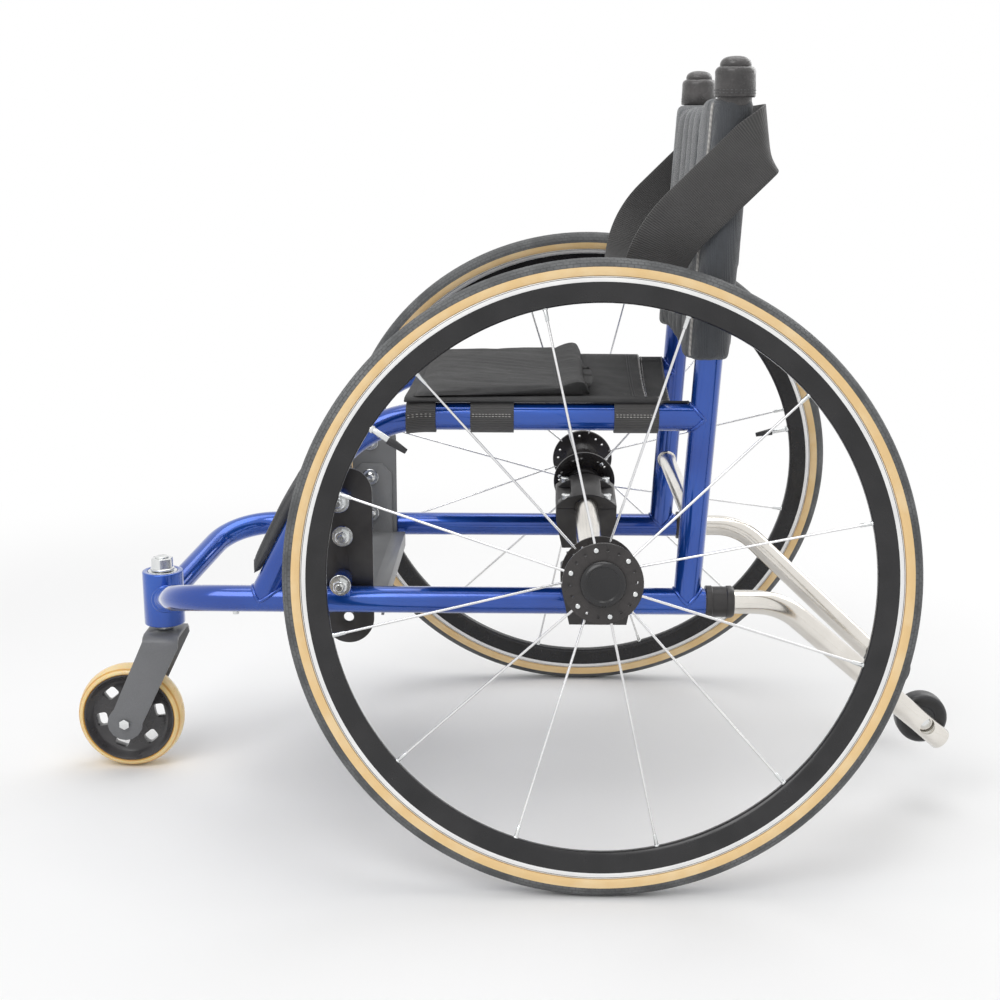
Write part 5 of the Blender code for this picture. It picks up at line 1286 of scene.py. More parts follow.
    def brace(self) -> None:
        """The thin tube between the posts."""
        x = self.post_x(self.brace_height)
        reach = self.half_width - self.radius * 0.8
        ends = [place(x, -reach, self.brace_height), place(x, reach, self.brace_height)]
        brace = Bench.tube("brace_tube_polished", ends, [], self.brace_radius, 36)
        Dresser.dress(brace, "frame", POLISHED_TUBE, ["brace_tube"])
        beads = []
        for sign in SIDES.values():
            foot = place(self.post_foot, sign * self.half_width, self.rail_height)
            end = place(x, sign * self.half_width, self.brace_height)
            inward = Vector((0.0, -sign, 0.0))
            points = saddle(end, inward, self.brace_radius, foot, self.post_along, self.radius)
            beads.append(Bench.line("bead", points, self.bead * 0.8, True))
        Dresser.dress(Bench.join("brace_welds", beads), "frame", POLISHED_TUBE, (), SOFT)

    def housing(self) -> None:
        """The caster housing, with rolled lips and seats for its bearings."""
        radius, low, high = self.housing_radius, self.housing_low, self.housing_high
        seat, bore, step = 0.0178, 0.0118, 0.0113
        profile = [
            (radius - 0.0012, low), (radius - 0.0003, low + 0.0004), (radius, low + 0.0014),
            (radius, high - 0.0014), (radius - 0.0003, high - 0.0004), (radius - 0.0012, high),
            (seat + 0.0006, high), (seat, high - 0.0006), (seat, high - step), (bore, high - step),
            (bore, low + step), (seat, low + step), (seat, low + 0.0006), (seat + 0.0006, low),
        ]
        where = Matrix.Translation(place(self.housing_x, 0.0, 0.0))
        housing = Bench.turned("caster_housing_painted", profile, 96, where)
        Dresser.dress(housing, "frame", CANDY_BLUE, ["caster_housing"], CRISP)


@dataclass
class AxleAndClamps:
    """The bent camber tube, its clamps on the rails and the quick-release pins."""

    wheels: Sequence[DriveWheel]
    radius: float = 0.015
    bend: float = 0.200
    inner_end: float = 0.0546
    clamp_inward: float = 0.10357
    bolt_x: float = 0.0265
    bolt_z: float = 0.028
    bolt_radius: float = 0.0052
    bolt_foot: float = 0.0128

    def build(self) -> None:
        """Make the tube and dress the clamps and pins."""
        wheel = self.wheels[0]
        near = wheel.frame @ Vector((0.0, 0.0, -self.inner_end - 0.0006))
        far = Vector((near.x, -near.y, near.z))
        middle_height = wheel.frame.translation.z - wheel.half_track * math.tan(wheel.camber)
        middle = place(0.0, 0.0, middle_height)
        tube = Bench.tube("axle_tube_polished", [near, middle, far], [self.bend], self.radius, 48)
        Dresser.dress(tube, "frame", POLISHED_TUBE, ["axle_tube"])
        for wheel in self.wheels:
            self.clamp(wheel)
            Dresser.carry(f"axle_pin_{wheel.side}", "frame", ZINC)

    def clamp(self, wheel: DriveWheel) -> None:
        """One clamp: a block and its cap, with bright bolt heads on the cap."""
        Dresser.carry(f"axle_clamp_{wheel.side}", "frame", BLACK_ANODISED, 0.0009)
        node = f"axle_clamp_cap_{wheel.side}"
        cap = Bench.carried(f"{node}_dressed", node, 0.0006)
        inverse = (wheel.frame @ Matrix.Translation((0.0, 0.0, -self.clamp_inward))).inverted()
        for face in cap.data.polygons:
            spot = inverse @ face.center
            off = math.hypot(abs(spot.x) - self.bolt_x, abs(spot.z) - self.bolt_z)
            face.material_index = 1 if off < self.bolt_radius + 0.0003 and spot.y > self.bolt_foot else 0
        Dresser.dress(cap, "frame", (BLACK_ANODISED, ZINC), [node], HARD)


# --------------------------------------------------------------------------- front caster


@dataclass
class Caster:
    """The front caster: bearings, stem, fork, axle bolt and the amber wheel."""

    housing_x: float = HOUSING_X
    trail: float = 0.046
    radius: float = 0.064
    half_width: float = 0.016
    tyre_inner: float = 0.0545
    boss_radius: float = 0.0125
    boss_reach: float = 0.0294
    web: float = 0.004
    window_circle: float = 0.0355
    window_length: float = 0.0165
    window_height: float = 0.0125
    window_depth: float = 0.04
    window_corner: float = 0.0034
    window_phase: float = math.radians(10.0)
    window_count: int = 6

    def build(self) -> None:
        """Make every piece of the caster."""
        for end in ("lower", "upper"):
            Dresser.carry(f"caster_bearing_{end}", "frame", ZINC, 0.0003, angle=40.0)
        Dresser.carry("caster_fork", "caster_fork", GREY_COAT, 0.0007, "coated")
        for node in ("caster_stem", "stem_nut", "caster_axle_bolt"):
            Dresser.carry(node, "caster_fork", ZINC)
        self.tyre()
        self.hub()

    @property
    def frame(self) -> Matrix:
        """Local Z points to the chair's left, along the wheel's axle."""
        centre = place(self.housing_x - self.trail, 0.0, self.radius)
        return Matrix.Translation(centre) @ UPRIGHT

    def tyre(self) -> None:
        """A crowned polyurethane tyre with soft shoulders."""
        crown, width, inner = self.radius, self.half_width, self.tyre_inner
        half = [
            (inner, width - 0.0012), (inner + 0.0006, width - 0.0006), (inner + 0.0013, width),
            (crown - 0.0072, width - 0.0001), (crown - 0.0058, width - 0.0008),
            (crown - 0.0042, width - 0.0022), (crown - 0.0027, width - 0.0044),
            (crown - 0.0014, width - 0.0078), (crown - 0.0004, width - 0.0122),
        ]

        def slot_at(radius: float, height: float) -> int:
            """Painted shade: darker amber at the hub's edge and in a line on the shoulder."""
            shoulder = crown - 0.0043 < radius < crown - 0.0026
            return 1 if radius < inner + 0.0013 or shoulder else 0

        profile = [*half, (crown, 0.0), *mirror(half)[len(half):]]
        tyre = Bench.turned("caster_tyre_resin", profile, 144, self.frame, slot_at)
        Dresser.dress(tyre, "caster_wheel", (AMBER_RESIN, AMBER_PAINTED_SHADE), ["caster_tyre"], ROUND)

    def hub(self) -> None:
        """A dished hub with a deep rim band and six windows in its web."""
        outer = self.tyre_inner - GAP
        web, boss, width = self.web, self.boss_radius, self.half_width - 0.001
        half = [
            (0.0043, self.boss_reach), (boss - 0.0034, self.boss_reach),
            (boss - 0.0028, self.boss_reach - 0.0005), (boss - 0.0004, web + 0.008),
            (boss + 0.0012, web + 0.0048), (boss + 0.004, web + 0.0012), (boss + 0.008, web),
            (outer - 0.022, web), (outer - 0.016, web + 0.0006), (outer - 0.011, web + 0.0022),
            (outer - 0.007, web + 0.0050), (outer - 0.0042, web + 0.0082), (outer - 0.0024, width - 0.0010),
            (outer - 0.0014, width), (outer - 0.0004, width), (outer, width - 0.0004),
        ]
        hub = Bench.turned("caster_hub_coated", mirror(half), 108)
        Bench.cut(hub, Bench.join("windows", [self.window(index) for index in range(self.window_count)]))
        Bench.bevel(hub, 0.0005, 2, CRISP)
        Bench.settle(hub, self.frame)
        Dresser.dress(hub, "caster_wheel", WHEEL_BLACK, ["caster_hub"], HARD)

    def window(self, index: int) -> Piece:
        """The cutter for one window of the hub, with rounded corners."""
        across, along, deep = self.window_height / 2, self.window_length / 2, self.window_depth / 2
        near, far = self.window_circle - across, self.window_circle + across
        window = Bench.block("window", (near, -along, -deep), (far, along, deep))
        Bench.edit(window, False)
        Bench.done()
        for edge in window.data.edges:
            first, second = (window.data.vertices[i].co for i in edge.vertices)
            edge.select = abs(first.z - second.z) > deep
        Bench.take(window)
        bpy.ops.object.mode_set(mode="EDIT")
        bpy.ops.mesh.select_mode(type="EDGE")
        bpy.ops.mesh.bevel(offset=self.window_corner, segments=5)
        bpy.ops.mesh.select_mode(type="VERT")
        Bench.done()
        turn = self.window_phase + math.tau * index / self.window_count
        Bench.settle(window, Matrix.Rotation(turn, 4, "Z"))
        return window


# --------------------------------------------------------------------------- foot rest


@dataclass
class FootRest:
    """Side plates on the frame's lugs, the folded foot plate, and the bolts."""

    half_width: float = HALF_WIDTH
    tube_radius: float = TUBE_RADIUS
    plate_x: float = -0.268
    plate_half: float = 0.0275
    plate_low: float = 0.208
    plate_high: float = 0.403
    plate_thickness: float = 0.005
    hole_height: float = 0.237
    hole_radius: float = 0.0055
    bolt_x: float = BOLT_X
    lug_reach: float = LUG_REACH
    flange_thickness: float = 0.003
    bolt_heights: dict = field(default_factory=lambda: {"low": 0.281, "mid": 0.328, "top": 0.372})

    def build(self) -> None:
        """Make the plates and bolts, and dress the foot plate."""
        Dresser.carry("footrest", "frame", PLATE_COAT, 0.0007, "coated")
        outer = self.half_width - self.tube_radius - GAP
        inner = outer - self.plate_thickness
        flange = inner - GAP - self.flange_thickness
        bolt = self.bolt()
        for name, sign in SIDES.items():
            self.plate(name, sign, inner, outer)
            for label, height in self.bolt_heights.items():
                seat = outer + GAP if label == "mid" else self.half_width + self.lug_reach + GAP
                head = flange - GAP if label != "top" else inner - GAP
                node = f"foot_bolt_{label}_{name}"
                spot = place(self.bolt_x, sign * seat, height)
                turn = Matrix.Rotation(-sign * math.pi / 2, 4, "X")
                nut = Bench.copy(bolt, f"{node}_nut", Matrix.Translation(spot) @ turn)
                button = self.button(sign, head, height)
                piece = Bench.join(f"{node}_dressed", [nut, button])
                Dresser.dress(piece, "frame", ZINC, [node], HARD)
        bpy.data.objects.remove(bolt)

    def plate(self, name: str, sign: float, inner: float, outer: float) -> None:
        """One side plate: black outside, grey on its inner face, with an open hole low down."""
        outline = arc((self.plate_x, self.plate_high - self.plate_half), self.plate_half, 0.0, 180.0, 32)
        outline += arc((self.plate_x, self.plate_low + self.plate_half), self.plate_half, 180.0, 360.0, 32)
        plate = Bench.side_plate(f"footrest_plate_{name}_dressed", outline, sign, inner, outer)
        Bench.cut(plate, Bench.bar(
            "hole", place(self.plate_x, sign * (inner - 0.01), self.hole_height),
            place(self.plate_x, sign * (outer + 0.01), self.hole_height), self.hole_radius, 40,
        ))
        Bench.bevel(plate, 0.0008, 3, 40.0)
        for face in plate.data.polygons:
            face.material_index = 1 if face.normal.y * sign < -0.9 else 0
        Dresser.dress(plate, "frame", (BLACK_ANODISED, PLATE_COAT), [f"footrest_plate_{name}"])

    def bolt(self) -> Piece:
        """The nut end of a bolt: washer, chamfered nut with its locking ring, and the thread's end."""
        washer = Bench.turned("washer", [
            (0.0, 0.0), (0.0112, 0.0), (0.0115, 0.0004), (0.0114, 0.0013), (0.0109, 0.0018), (0.0, 0.0018),
        ], 48)
        nut = Bench.bar("nut", Vector((0.0, 0.0, 0.0012)), Vector((0.0, 0.0, 0.0072)), 0.0078, 6)
        ball = Bench.turned("nut chamfer", [
            (0.0, 0.001), (0.0095, 0.001), (0.0095, 0.0056), (0.0066, 0.0073), (0.0, 0.0073),
        ], 48)
        Bench.apply(nut, "BOOLEAN", operation="INTERSECT", solver="EXACT", object=ball)
        bpy.data.objects.remove(ball)
        ring = Bench.turned("locking ring", [
            (0.0, 0.006), (0.0062, 0.006), (0.0062, 0.0082), (0.0056, 0.0090), (0.0045, 0.0091),
            (0.0, 0.0088),
        ], 40)
        end = Bench.turned("thread", [
            (0.0, 0.004), (0.004, 0.004), (0.004, 0.0116), (0.0033, 0.0123), (0.0, 0.0123),
        ], 24)
        return Bench.join("bolt_end", [washer, nut, ring, end])

    def button(self, sign: float, head: float, height: float) -> Piece:
        """The bolt's domed head, with a hexagon socket, and its washer on the inner side."""
        washer = Bench.turned("inner washer", [
            (0.0, 0.0), (0.0100, 0.0), (0.0103, 0.0004), (0.0102, 0.0011), (0.0097, 0.0015), (0.0, 0.0015),
        ], 48)
        dome = Bench.turned("dome", [
            (0.0, 0.001), (0.0066, 0.001), (0.0066, 0.0026), (0.0058, 0.0040), (0.0044, 0.0050),
            (0.0, 0.0054),
        ], 36)
        Bench.cut(dome, Bench.bar("socket", Vector((0.0, 0.0, 0.0034)), Vector((0.0, 0.0, 0.008)), 0.0027, 6))
        button = Bench.join("button", [washer, dome])
        spot = place(self.bolt_x, sign * head, height)
        Bench.settle(button, Matrix.Translation(spot) @ Matrix.Rotation(sign * math.pi / 2, 4, "X"))
        return button


# --------------------------------------------------------------------------- anti-tip device


@dataclass
class AntiTip:
    """One side's collar, bent tube, small wheel and its bolt."""

    side: str
    half_width: float = HALF_WIDTH
    height: float = RAIL_HEIGHT
    rail_rear: float = RAIL_REAR
    insert: float = 0.055
    radius: float = 0.0127
    corner_x: float = 0.196
    bend_radius: float = 0.0696
    bend: float = math.radians(43.9)
    roll: float = math.radians(20.2)
    reach: float = 0.277
    axle_reach: float = 0.250
    axle_rise: float = 0.003
    wheel_radius: float = 0.0288
    wheel_half: float = 0.012

    def build(self) -> None:
        """Make every piece of this side."""
        sign = SIDES[self.side]
        corner = place(self.corner_x, sign * self.half_width, self.height)
        slope = Vector((
            math.cos(self.bend), -sign * math.sin(self.bend) * math.sin(self.roll),
            -math.sin(self.bend) * math.cos(self.roll),
        ))
        start = place(self.rail_rear - self.insert, sign * self.half_width, self.height)
        tube = Bench.tube(
            f"anti_tip_tube_{self.side}_polished", [start, corner, corner + slope * self.reach],
            [self.bend_radius], self.radius, 44,
        )
        hub = corner + slope * self.axle_reach + UP * self.axle_rise
        flat = abs(hub.y) - self.radius * 0.75
        seat = abs(hub.y) - self.radius * 0.25
        sides = sorted((sign * flat, sign * (flat - 0.08)))
        Bench.cut(
            tube,
            Bench.block("flat", (hub.x - 0.2, sides[0], -0.05), (hub.x + 0.2, sides[1], hub.z + 0.06)),
            Bench.bar("pocket", *(Vector((hub.x, sign * y, hub.z)) for y in (seat, seat + 0.05)), 0.009, 32),
        )
        Bench.bevel(tube, 0.0005, 2, 45.0)
        Dresser.dress(tube, "frame", POLISHED_TUBE, [f"anti_tip_tube_{self.side}"])
        self.wheel(sign, hub, flat)
        Dresser.carry(f"anti_tip_bolt_{self.side}", "frame", ZINC, 0.0004)
        self.collar(sign)

    def wheel(self, sign: float, hub: Vector, flat: float) -> None:
        """A small moulded wheel with a raised hub face and a rounded running band."""
        half, radius = self.wheel_half, self.wheel_radius
        side = [
            (0.0043, half), (radius * 0.42, half), (radius * 0.47, half - 0.0006),
            (radius * 0.52, half - 0.0026), (radius * 0.68, half - 0.0028), (radius * 0.78, half - 0.0012),
            (radius - 0.0034, half - 0.0008), (radius - 0.0014, half - 0.0022),
            (radius - 0.0003, half - 0.0046), (radius, half - 0.0075),
        ]
        centre = Vector((hub.x, sign * (flat - 0.0012 - half), hub.z))
        node = f"anti_tip_wheel_{self.side}"
        wheel = Bench.turned(f"{node}_dressed", mirror(side), 96, Matrix.Translation(centre) @ UPRIGHT)
        Dresser.dress(wheel, node, BLACK_RUBBER, [node])

    def collar(self, sign: float) -> None:
        """A clamping collar with a split rib, a knurled lip and a set screw under it."""
        bore, outer = self.radius + GAP, 0.0173
        start, length = self.rail_rear + GAP, 0.030
        profile = [
            (bore, start), (outer - 0.0006, start), (outer, start + 0.0008), (outer, start + 0.0062),
            (outer - 0.0009, start + 0.0072), (outer - 0.0009, start + length - 0.0082),
            (outer, start + length - 0.0072), (outer, start + length - 0.0028),
            (outer - 0.0018, start + length), (bore, start + length),
        ]
        y = sign * self.half_width
        where = Matrix.Translation(place(0.0, y, self.height)) @ Matrix.Rotation(math.pi / 2, 4, "Y")
        collar = Bench.turned(f"rail_collar_{self.side}_dressed", profile, 64, where)
        Dresser.dress(collar, "frame", BLACK_ANODISED, [f"rail_collar_{self.side}"], HARD)
        screw_x = self.rail_rear + 0.0155
        screw = Bench.bar(
            f"collar_screw_{self.side}", place(screw_x, y, self.height - outer + 0.003),
            place(screw_x, y, self.height - outer - 0.0022), 0.0034, 24,
        )
        Bench.bevel(screw, 0.0004)
        Dresser.dress(screw, "frame", ZINC)


# --------------------------------------------------------------------------- soft goods


class Sewing:
    """Steps that the soft pieces share."""

    drawn = 0.62  # share of the pitch that a stitch covers
    frames = 20  # steps of the cloth simulation

    @staticmethod
    def puff(
        piece: Piece, cap: float, pressure: float = 4.0, voxel: float = 0.0,
        free: Callable[[Vector], float] = lambda point: 1.0,
    ) -> None:
        """Fill a closed cover with air as cloth, then keep each point within a cap of where it was.

        Args:
            piece: the closed cover.
            cap: the farthest that a point may move.
            pressure: how hard it is filled.
            voxel: remesh size first, or zero to keep the mesh.
            free: share of its move that a point keeps, by its place.
        """
        if voxel > 0.0:
            Bench.apply(piece, "REMESH", mode="VOXEL", voxel_size=voxel, use_smooth_shade=True)
        start = [vertex.co.copy() for vertex in piece.data.vertices]
        Bench.take(piece)
        cloth = piece.modifiers.new("Cloth", "CLOTH")
        cloth.settings.use_pressure = True
        cloth.settings.uniform_pressure_force = pressure
        cloth.settings.quality = 5
        cloth.settings.effector_weights.gravity = 0.0
        cloth.collision_settings.use_collision = False
        scene = bpy.context.scene
        for step in range(Sewing.frames):
            scene.frame_set(step + 1)
        graph = bpy.context.evaluated_depsgraph_get()
        filled = [vertex.co.copy() for vertex in piece.evaluated_get(graph).data.vertices]
        piece.modifiers.remove(cloth)
        scene.frame_set(1)
        for vertex, old, new in zip(piece.data.vertices, start, filled):
            move = new - old
            if move.length > cap:
                move = move.normalized() * cap
            vertex.co = old + move * free(old)
        piece.data.update()

    @staticmethod
    def area(piece: Piece) -> float:
        """Area of an open cloth before it gets its thickness."""
        return sum(face.area for face in piece.data.polygons)

    @staticmethod
    def skin(piece: Piece) -> BVHTree:
        """A tree of a piece's faces, to lay seams on it."""
        mesh = piece.data
        return BVHTree.FromPolygons(
            [vertex.co.copy() for vertex in mesh.vertices], [tuple(face.vertices) for face in mesh.polygons],
        )

    @classmethod
    def stitches(cls, name: str, points: Sequence[Vector], pitch: float, radius: float = 0.00045) -> Piece:
        """A row of separate stitches along a line of points.

        Args:
            name: the piece's name.
            points: the line that the stitches follow.
            pitch: distance from stitch to stitch.
            radius: the thread's radius.

        Returns:
            All the stitches as one piece.
        """
        parts = []
        carry = 0.0
        for first, second in zip(points, points[1:]):
            length = (second - first).length
            if length < 1e-9:
                continue
            along = (second - first) / length
            while carry + pitch * cls.drawn <= length:
                start = first + along * carry
                parts.append(Bench.bar("stitch", start, start + along * pitch * cls.drawn, radius, 6))
                carry += pitch
            carry = max(0.0, carry - length)
        return Bench.join(name, parts)

    @classmethod
    def sew(cls, name: str, points: Sequence[Vector], pitch: float = 0.0042, radius: float = 0.00045) -> None:
        """Sew a row of stitches in dark thread."""
        Dresser.dress(cls.stitches(name, points, pitch, radius), "frame", THREAD, (), ROUND)

    @staticmethod
    def laid(skin: BVHTree, starts: Iterable[Vector], heading: Vector, lift: float) -> list[Vector]:
        """Drop points along a heading onto a piece's skin, a little above it."""
        hits = (skin.ray_cast(start, heading)[0] for start in starts)
        return [hit - heading * lift for hit in hits if hit is not None]

    @classmethod
    def cover(cls, name: str, node: str, cap: float, rising: bool = False) -> Piece:
        """Copy a packed pad, mesh it evenly and fill it as cloth.

        Args:
            name: the new piece's name.
            node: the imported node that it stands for.
            cap: the farthest that a point may move.
            rising: whether no point may sink.

        Returns:
            The filled pad.
        """
        piece = Bench.carried(name, node, 0.0)
        Bench.edit(piece)
        bpy.ops.mesh.quads_convert_to_tris()
        flat = math.radians(60.0)
        bpy.ops.mesh.tris_convert_to_quads(face_threshold=flat, shape_threshold=flat)
        Bench.done()
        Bench.subdivide(piece, 2)
        floor = [vertex.co.z if rising else -1.0 for vertex in piece.data.vertices]
        cls.puff(piece, cap, 3.0)
        for vertex, low in zip(piece.data.vertices, floor):
            vertex.co.z = max(vertex.co.z, low)
        Bench.subdivide(piece, 1)
        return piece


@dataclass
class SeatShape:
    """How the layers of the seat hang between the rails."""

    half_width: float = HALF_WIDTH
    tube_radius: float = TUBE_RADIUS
    rail_height: float = SEAT_HEIGHT
    front_sag: float = 0.003
    rear_sag: float = 0.034
    front_x: float = -0.203
    rear_x: float = 0.092
    contact: float = 0.0115
    bend: float = LEG_BEND
    bend_start: float = -0.1784

    def rail_axis(self, x: float) -> float:
        """Height of the seat rail's axis, level but for the start of its front bend."""
        ahead = max(0.0, self.bend_start - x)
        return self.rail_height - self.bend + math.sqrt(self.bend ** 2 - ahead ** 2)

    def sag(self, x: float) -> float:
        """How far the seat's middle hangs at this place."""
        share = max(0.0, (x - self.front_x) / (self.rear_x - self.front_x))
        return self.front_sag + (self.rear_sag - self.front_sag) * share ** 1.5

    def hang(self, x: float, y: float, base: float) -> float:
        """Height of a layer that lies at base on the rails."""
        share = min(1.0, abs(y) / (self.half_width - self.contact))
        return base - self.sag(x) * (1.0 - share ** 2)


@dataclass
class Seat:
    """Webbing straps, the sling, the padded front layer and the rear panel."""

    shape: SeatShape = field(default_factory=SeatShape)
    strap_thickness: float = 0.0018
    strap_gap: float = 0.0008
    layer_gap: float = 0.0009
    sling_thickness: float = 0.0025
    overhang: float = 0.010
    sling_rear: float = 0.062
    panel: tuple[float, float] = (0.066, 0.092)
    pad_rear: float = -0.0215
    seam_inset: float = 0.022
    seam_half: float = 0.150
    straps: dict = field(default_factory=lambda: {
        "front": (-0.201, -0.170), "middle": (-0.134, -0.089), "rear": (0.015, 0.061),
    })

    def build(self) -> None:
        """Make every layer of the seat."""
        for name, (front, rear) in self.straps.items():
            self.strap(name, front, rear)
        self.sling()
        self.pad()
        self.rear_panel()

    def strap_path(self, x: float) -> list[Vector]:
        """One line of webbing: round one rail, over to the other and round it."""
        outer = self.shape.tube_radius + self.strap_gap + self.strap_thickness
        centre = self.shape.rail_axis(x)
        half = self.shape.half_width
        loop = [
            (outer * math.cos(a), centre + outer * math.sin(a))
            for a in (math.radians(-150.0 + 240.0 * step / 30) for step in range(31))
        ]
        near = [place(x, -half - y, z) for y, z in loop]
        span = half - self.shape.contact
        across = [
            place(x, y, self.shape.hang(x, y, centre + outer))
            for y in (span * (2.0 * index / 40 - 1.0) for index in range(41))
        ]
        far = [place(x, half + y, z) for y, z in reversed(loop)]
        return near + across + far

    def strap(self, name: str, front: float, rear: float) -> None:
        """One strap of ribbed webbing."""
        columns = 10
        paths = [self.strap_path(front + (rear - front) * index / columns) for index in range(columns + 1)]
        count = len(paths[0]) - 1
        length = sum((b - a).length for a, b in zip(paths[0], paths[0][1:]))

        def spot(u: float, v: float) -> Vector:
            """A point of the strap."""
            return paths[round(u * columns)][round(v * count)]

        node = f"seat_strap_{name}"
        strap = Bench.sheet(f"{node}_webbing", columns, count, spot, (rear - front, length))
        area = Sewing.area(strap)
        Bench.thicken(strap, self.strap_thickness, UP)
        Bench.bevel(strap, 0.0004, 2, ROUND)
        Dresser.dress(strap, "frame", WEBBING, [node], CRISP)
        for side, sign in SIDES.items():
            rows = [self.strap_stitches(front + 0.002, rear - 0.002, sign, lean) for lean in (9.0, 17.0)]
            Dresser.dress(Bench.join(f"strap_stitches_{name}_{side}", rows), "frame", PIPING, (), ROUND)

    def strap_stitches(self, front: float, rear: float, sign: float, lean: float) -> Piece:
        """One row of pale stitches on the outer side of a strap, at an angle above the rail's middle."""
        reach = self.shape.tube_radius + self.strap_gap + self.strap_thickness
        out, rise = reach * math.cos(math.radians(lean)), reach * math.sin(math.radians(lean))
        points = [
            place(x, sign * (self.shape.half_width + out), self.shape.rail_axis(x) + rise)
            for x in (front + (rear - front) * step / 12 for step in range(13))
        ]
        return Sewing.stitches("strap row", points, 0.0033, 0.0004)

    def top(self) -> float:
        """Height of the sling's upper face on the rails."""
        webbing = self.shape.rail_height + self.shape.tube_radius + self.strap_gap + self.strap_thickness
        return webbing + self.layer_gap + self.sling_thickness

    def drape(self, y: float, radius: float) -> float:
        """How far a layer falls away over the outer side of the rail."""
        over = max(0.0, abs(y) - self.shape.half_width)
        return radius - math.sqrt(max(0.0, radius ** 2 - over ** 2))

    def sling(self) -> None:
        """The nylon sling, lightly creased, with a taped rear edge."""
        front, rear = self.shape.front_x, self.sling_rear
        half = self.shape.half_width + self.overhang
        base = self.top()

        def spot(u: float, v: float) -> Vector:
            """A point of the sling's upper face."""
            x = front + (rear - front) * v
            y = half * (2.0 * u - 1.0)
            share = min(1.0, max(0.0, (x + 0.01) * 60.0))
            crease = noise.noise(Vector((x * 9.0, y * 55.0, 0.3))) * 0.0008 * share
            return place(x, y, self.shape.hang(x, y, base) - self.drape(y, 0.021) - abs(crease))

        sling = Bench.sheet("seat_sling_cloth", 120, 70, spot, (2.0 * half, rear - front))
        area = Sewing.area(sling)
        for face in sling.data.polygons:
            face.material_index = 1 if -0.004 < face.center.x - AXLE_X < 0.043 and face.normal.z > 0.0 else 0
        Bench.thicken(sling, self.sling_thickness - 0.0004, UP)
        Bench.bevel(sling, 0.0006, 2, ROUND)
        Dresser.dress(sling, "frame", (SEAT_NYLON, WEBBING), ["seat_sling"], CRISP)
        self.tape("sling_tape", [spot(index / 60, 1.0) for index in range(61)], 0.0016)
        for offset in (0.012, 0.015):
            share = 1.0 - offset / (rear - front)
            line = [spot(0.04 + 0.92 * i / 80, share) + UP * GAP for i in range(81)]
            Sewing.sew(f"sling_stitches_{round(offset * 1000)}", line, 0.004)

    def tape(self, name: str, points: Sequence[Vector], radius: float) -> None:
        """Binding tape rolled round an edge."""
        lowered = [point - UP * radius * 0.8 for point in points]
        tape = Bench.line(name, lowered, radius, False, 7)
        Dresser.dress(tape, "frame", LEATHER, (), 70.0)

    def pad(self) -> None:
        """The padded layer: filled as cloth, then creased along its length and seamed."""
        pad = Sewing.cover("seat_pad_cloth", "seat_pad", 0.0025, True)
        rear = AXLE_X + self.pad_rear

        def crease(point: Vector, normal: Vector) -> Vector:
            """Wrinkles along the pad's length, and its sewn line."""
            if normal.z < 0.15:
                return Vector()
            x, y = point.x - AXLE_X, point.y
            fold = noise.noise(Vector((x * 9.0, (y + 0.35 * x) * 58.0, 1.7)))
            broad = noise.noise(Vector((x * 5.0, (y + 0.5 * x) * 19.0, 4.1)))
            edge = max(0.0, min(1.0, (0.176 - abs(y)) * 40.0))
            drop = edge * (0.0013 * abs(fold) + 0.0030 * max(0.0, broad)) * normal.z
            seam = 0.0016 * math.exp(-((point.x - rear + self.seam_inset) / 0.0028) ** 2) * normal.z
            behind = max(0.0, min(1.0, (point.x - rear + 0.030) / 0.030))
            rise = max(0.0, point.z - self.shape.hang(x, y, self.top()))
            return Vector((behind * rise * 0.55, 0.0, behind * rise * 0.12 - drop - seam))

        Bench.displace(pad, crease)
        Bench.outward(pad)
        Dresser.dress(pad, "frame", SEAT_NYLON, ["seat_pad"], SOFT)
        line = rear - self.seam_inset
        starts = [Vector((line, self.seam_half * (2.0 * index / 80 - 1.0), 0.6)) for index in range(81)]
        Sewing.sew("pad_stitches", Sewing.laid(Sewing.skin(pad), starts, -UP, 0.0002))

    def rear_panel(self) -> None:
        """The strip of cloth in front of the posts, with piping on both its edges."""
        reach = self.shape.tube_radius + self.sling_thickness + 0.0004
        half = self.shape.half_width
        wrap = [
            (half - reach * math.sin(a), self.shape.rail_height + reach * math.cos(a))
            for a in (math.radians(45.0 * step / 9) for step in range(10))
        ]
        edge, top = wrap[-1]
        front, rear = self.panel

        def row(x: float) -> list[Vector]:
            """One line across the panel."""
            shares = [2.0 * step / 48 - 1.0 for step in range(1, 48)]
            middle = [place(x, edge * s, top - self.shape.sag(x) * (1.0 - s ** 2)) for s in shares]
            return [place(x, -y, z) for y, z in wrap] + middle + [place(x, y, z) for y, z in reversed(wrap)]

        rows = [row(front + (rear - front) * index / 8) for index in range(9)]
        count = len(rows[0]) - 1
        panel = Bench.sheet(
            "seat_rear_panel_cloth", 8, count, lambda u, v: rows[round(u * 8)][round(v * count)],
            (rear - front, 2.0 * half),
        )
        area = Sewing.area(panel)
        Bench.thicken(panel, self.sling_thickness - 0.0003, UP)
        Bench.bevel(panel, 0.0005, 2, ROUND)
        Dresser.dress(panel, "frame", SEAT_NYLON, ["seat_rear_panel"], CRISP)
        for name, line in (("front", rows[0]), ("rear", rows[-1])):
            self.tape(f"rear_panel_piping_{name}", line, 0.0015)


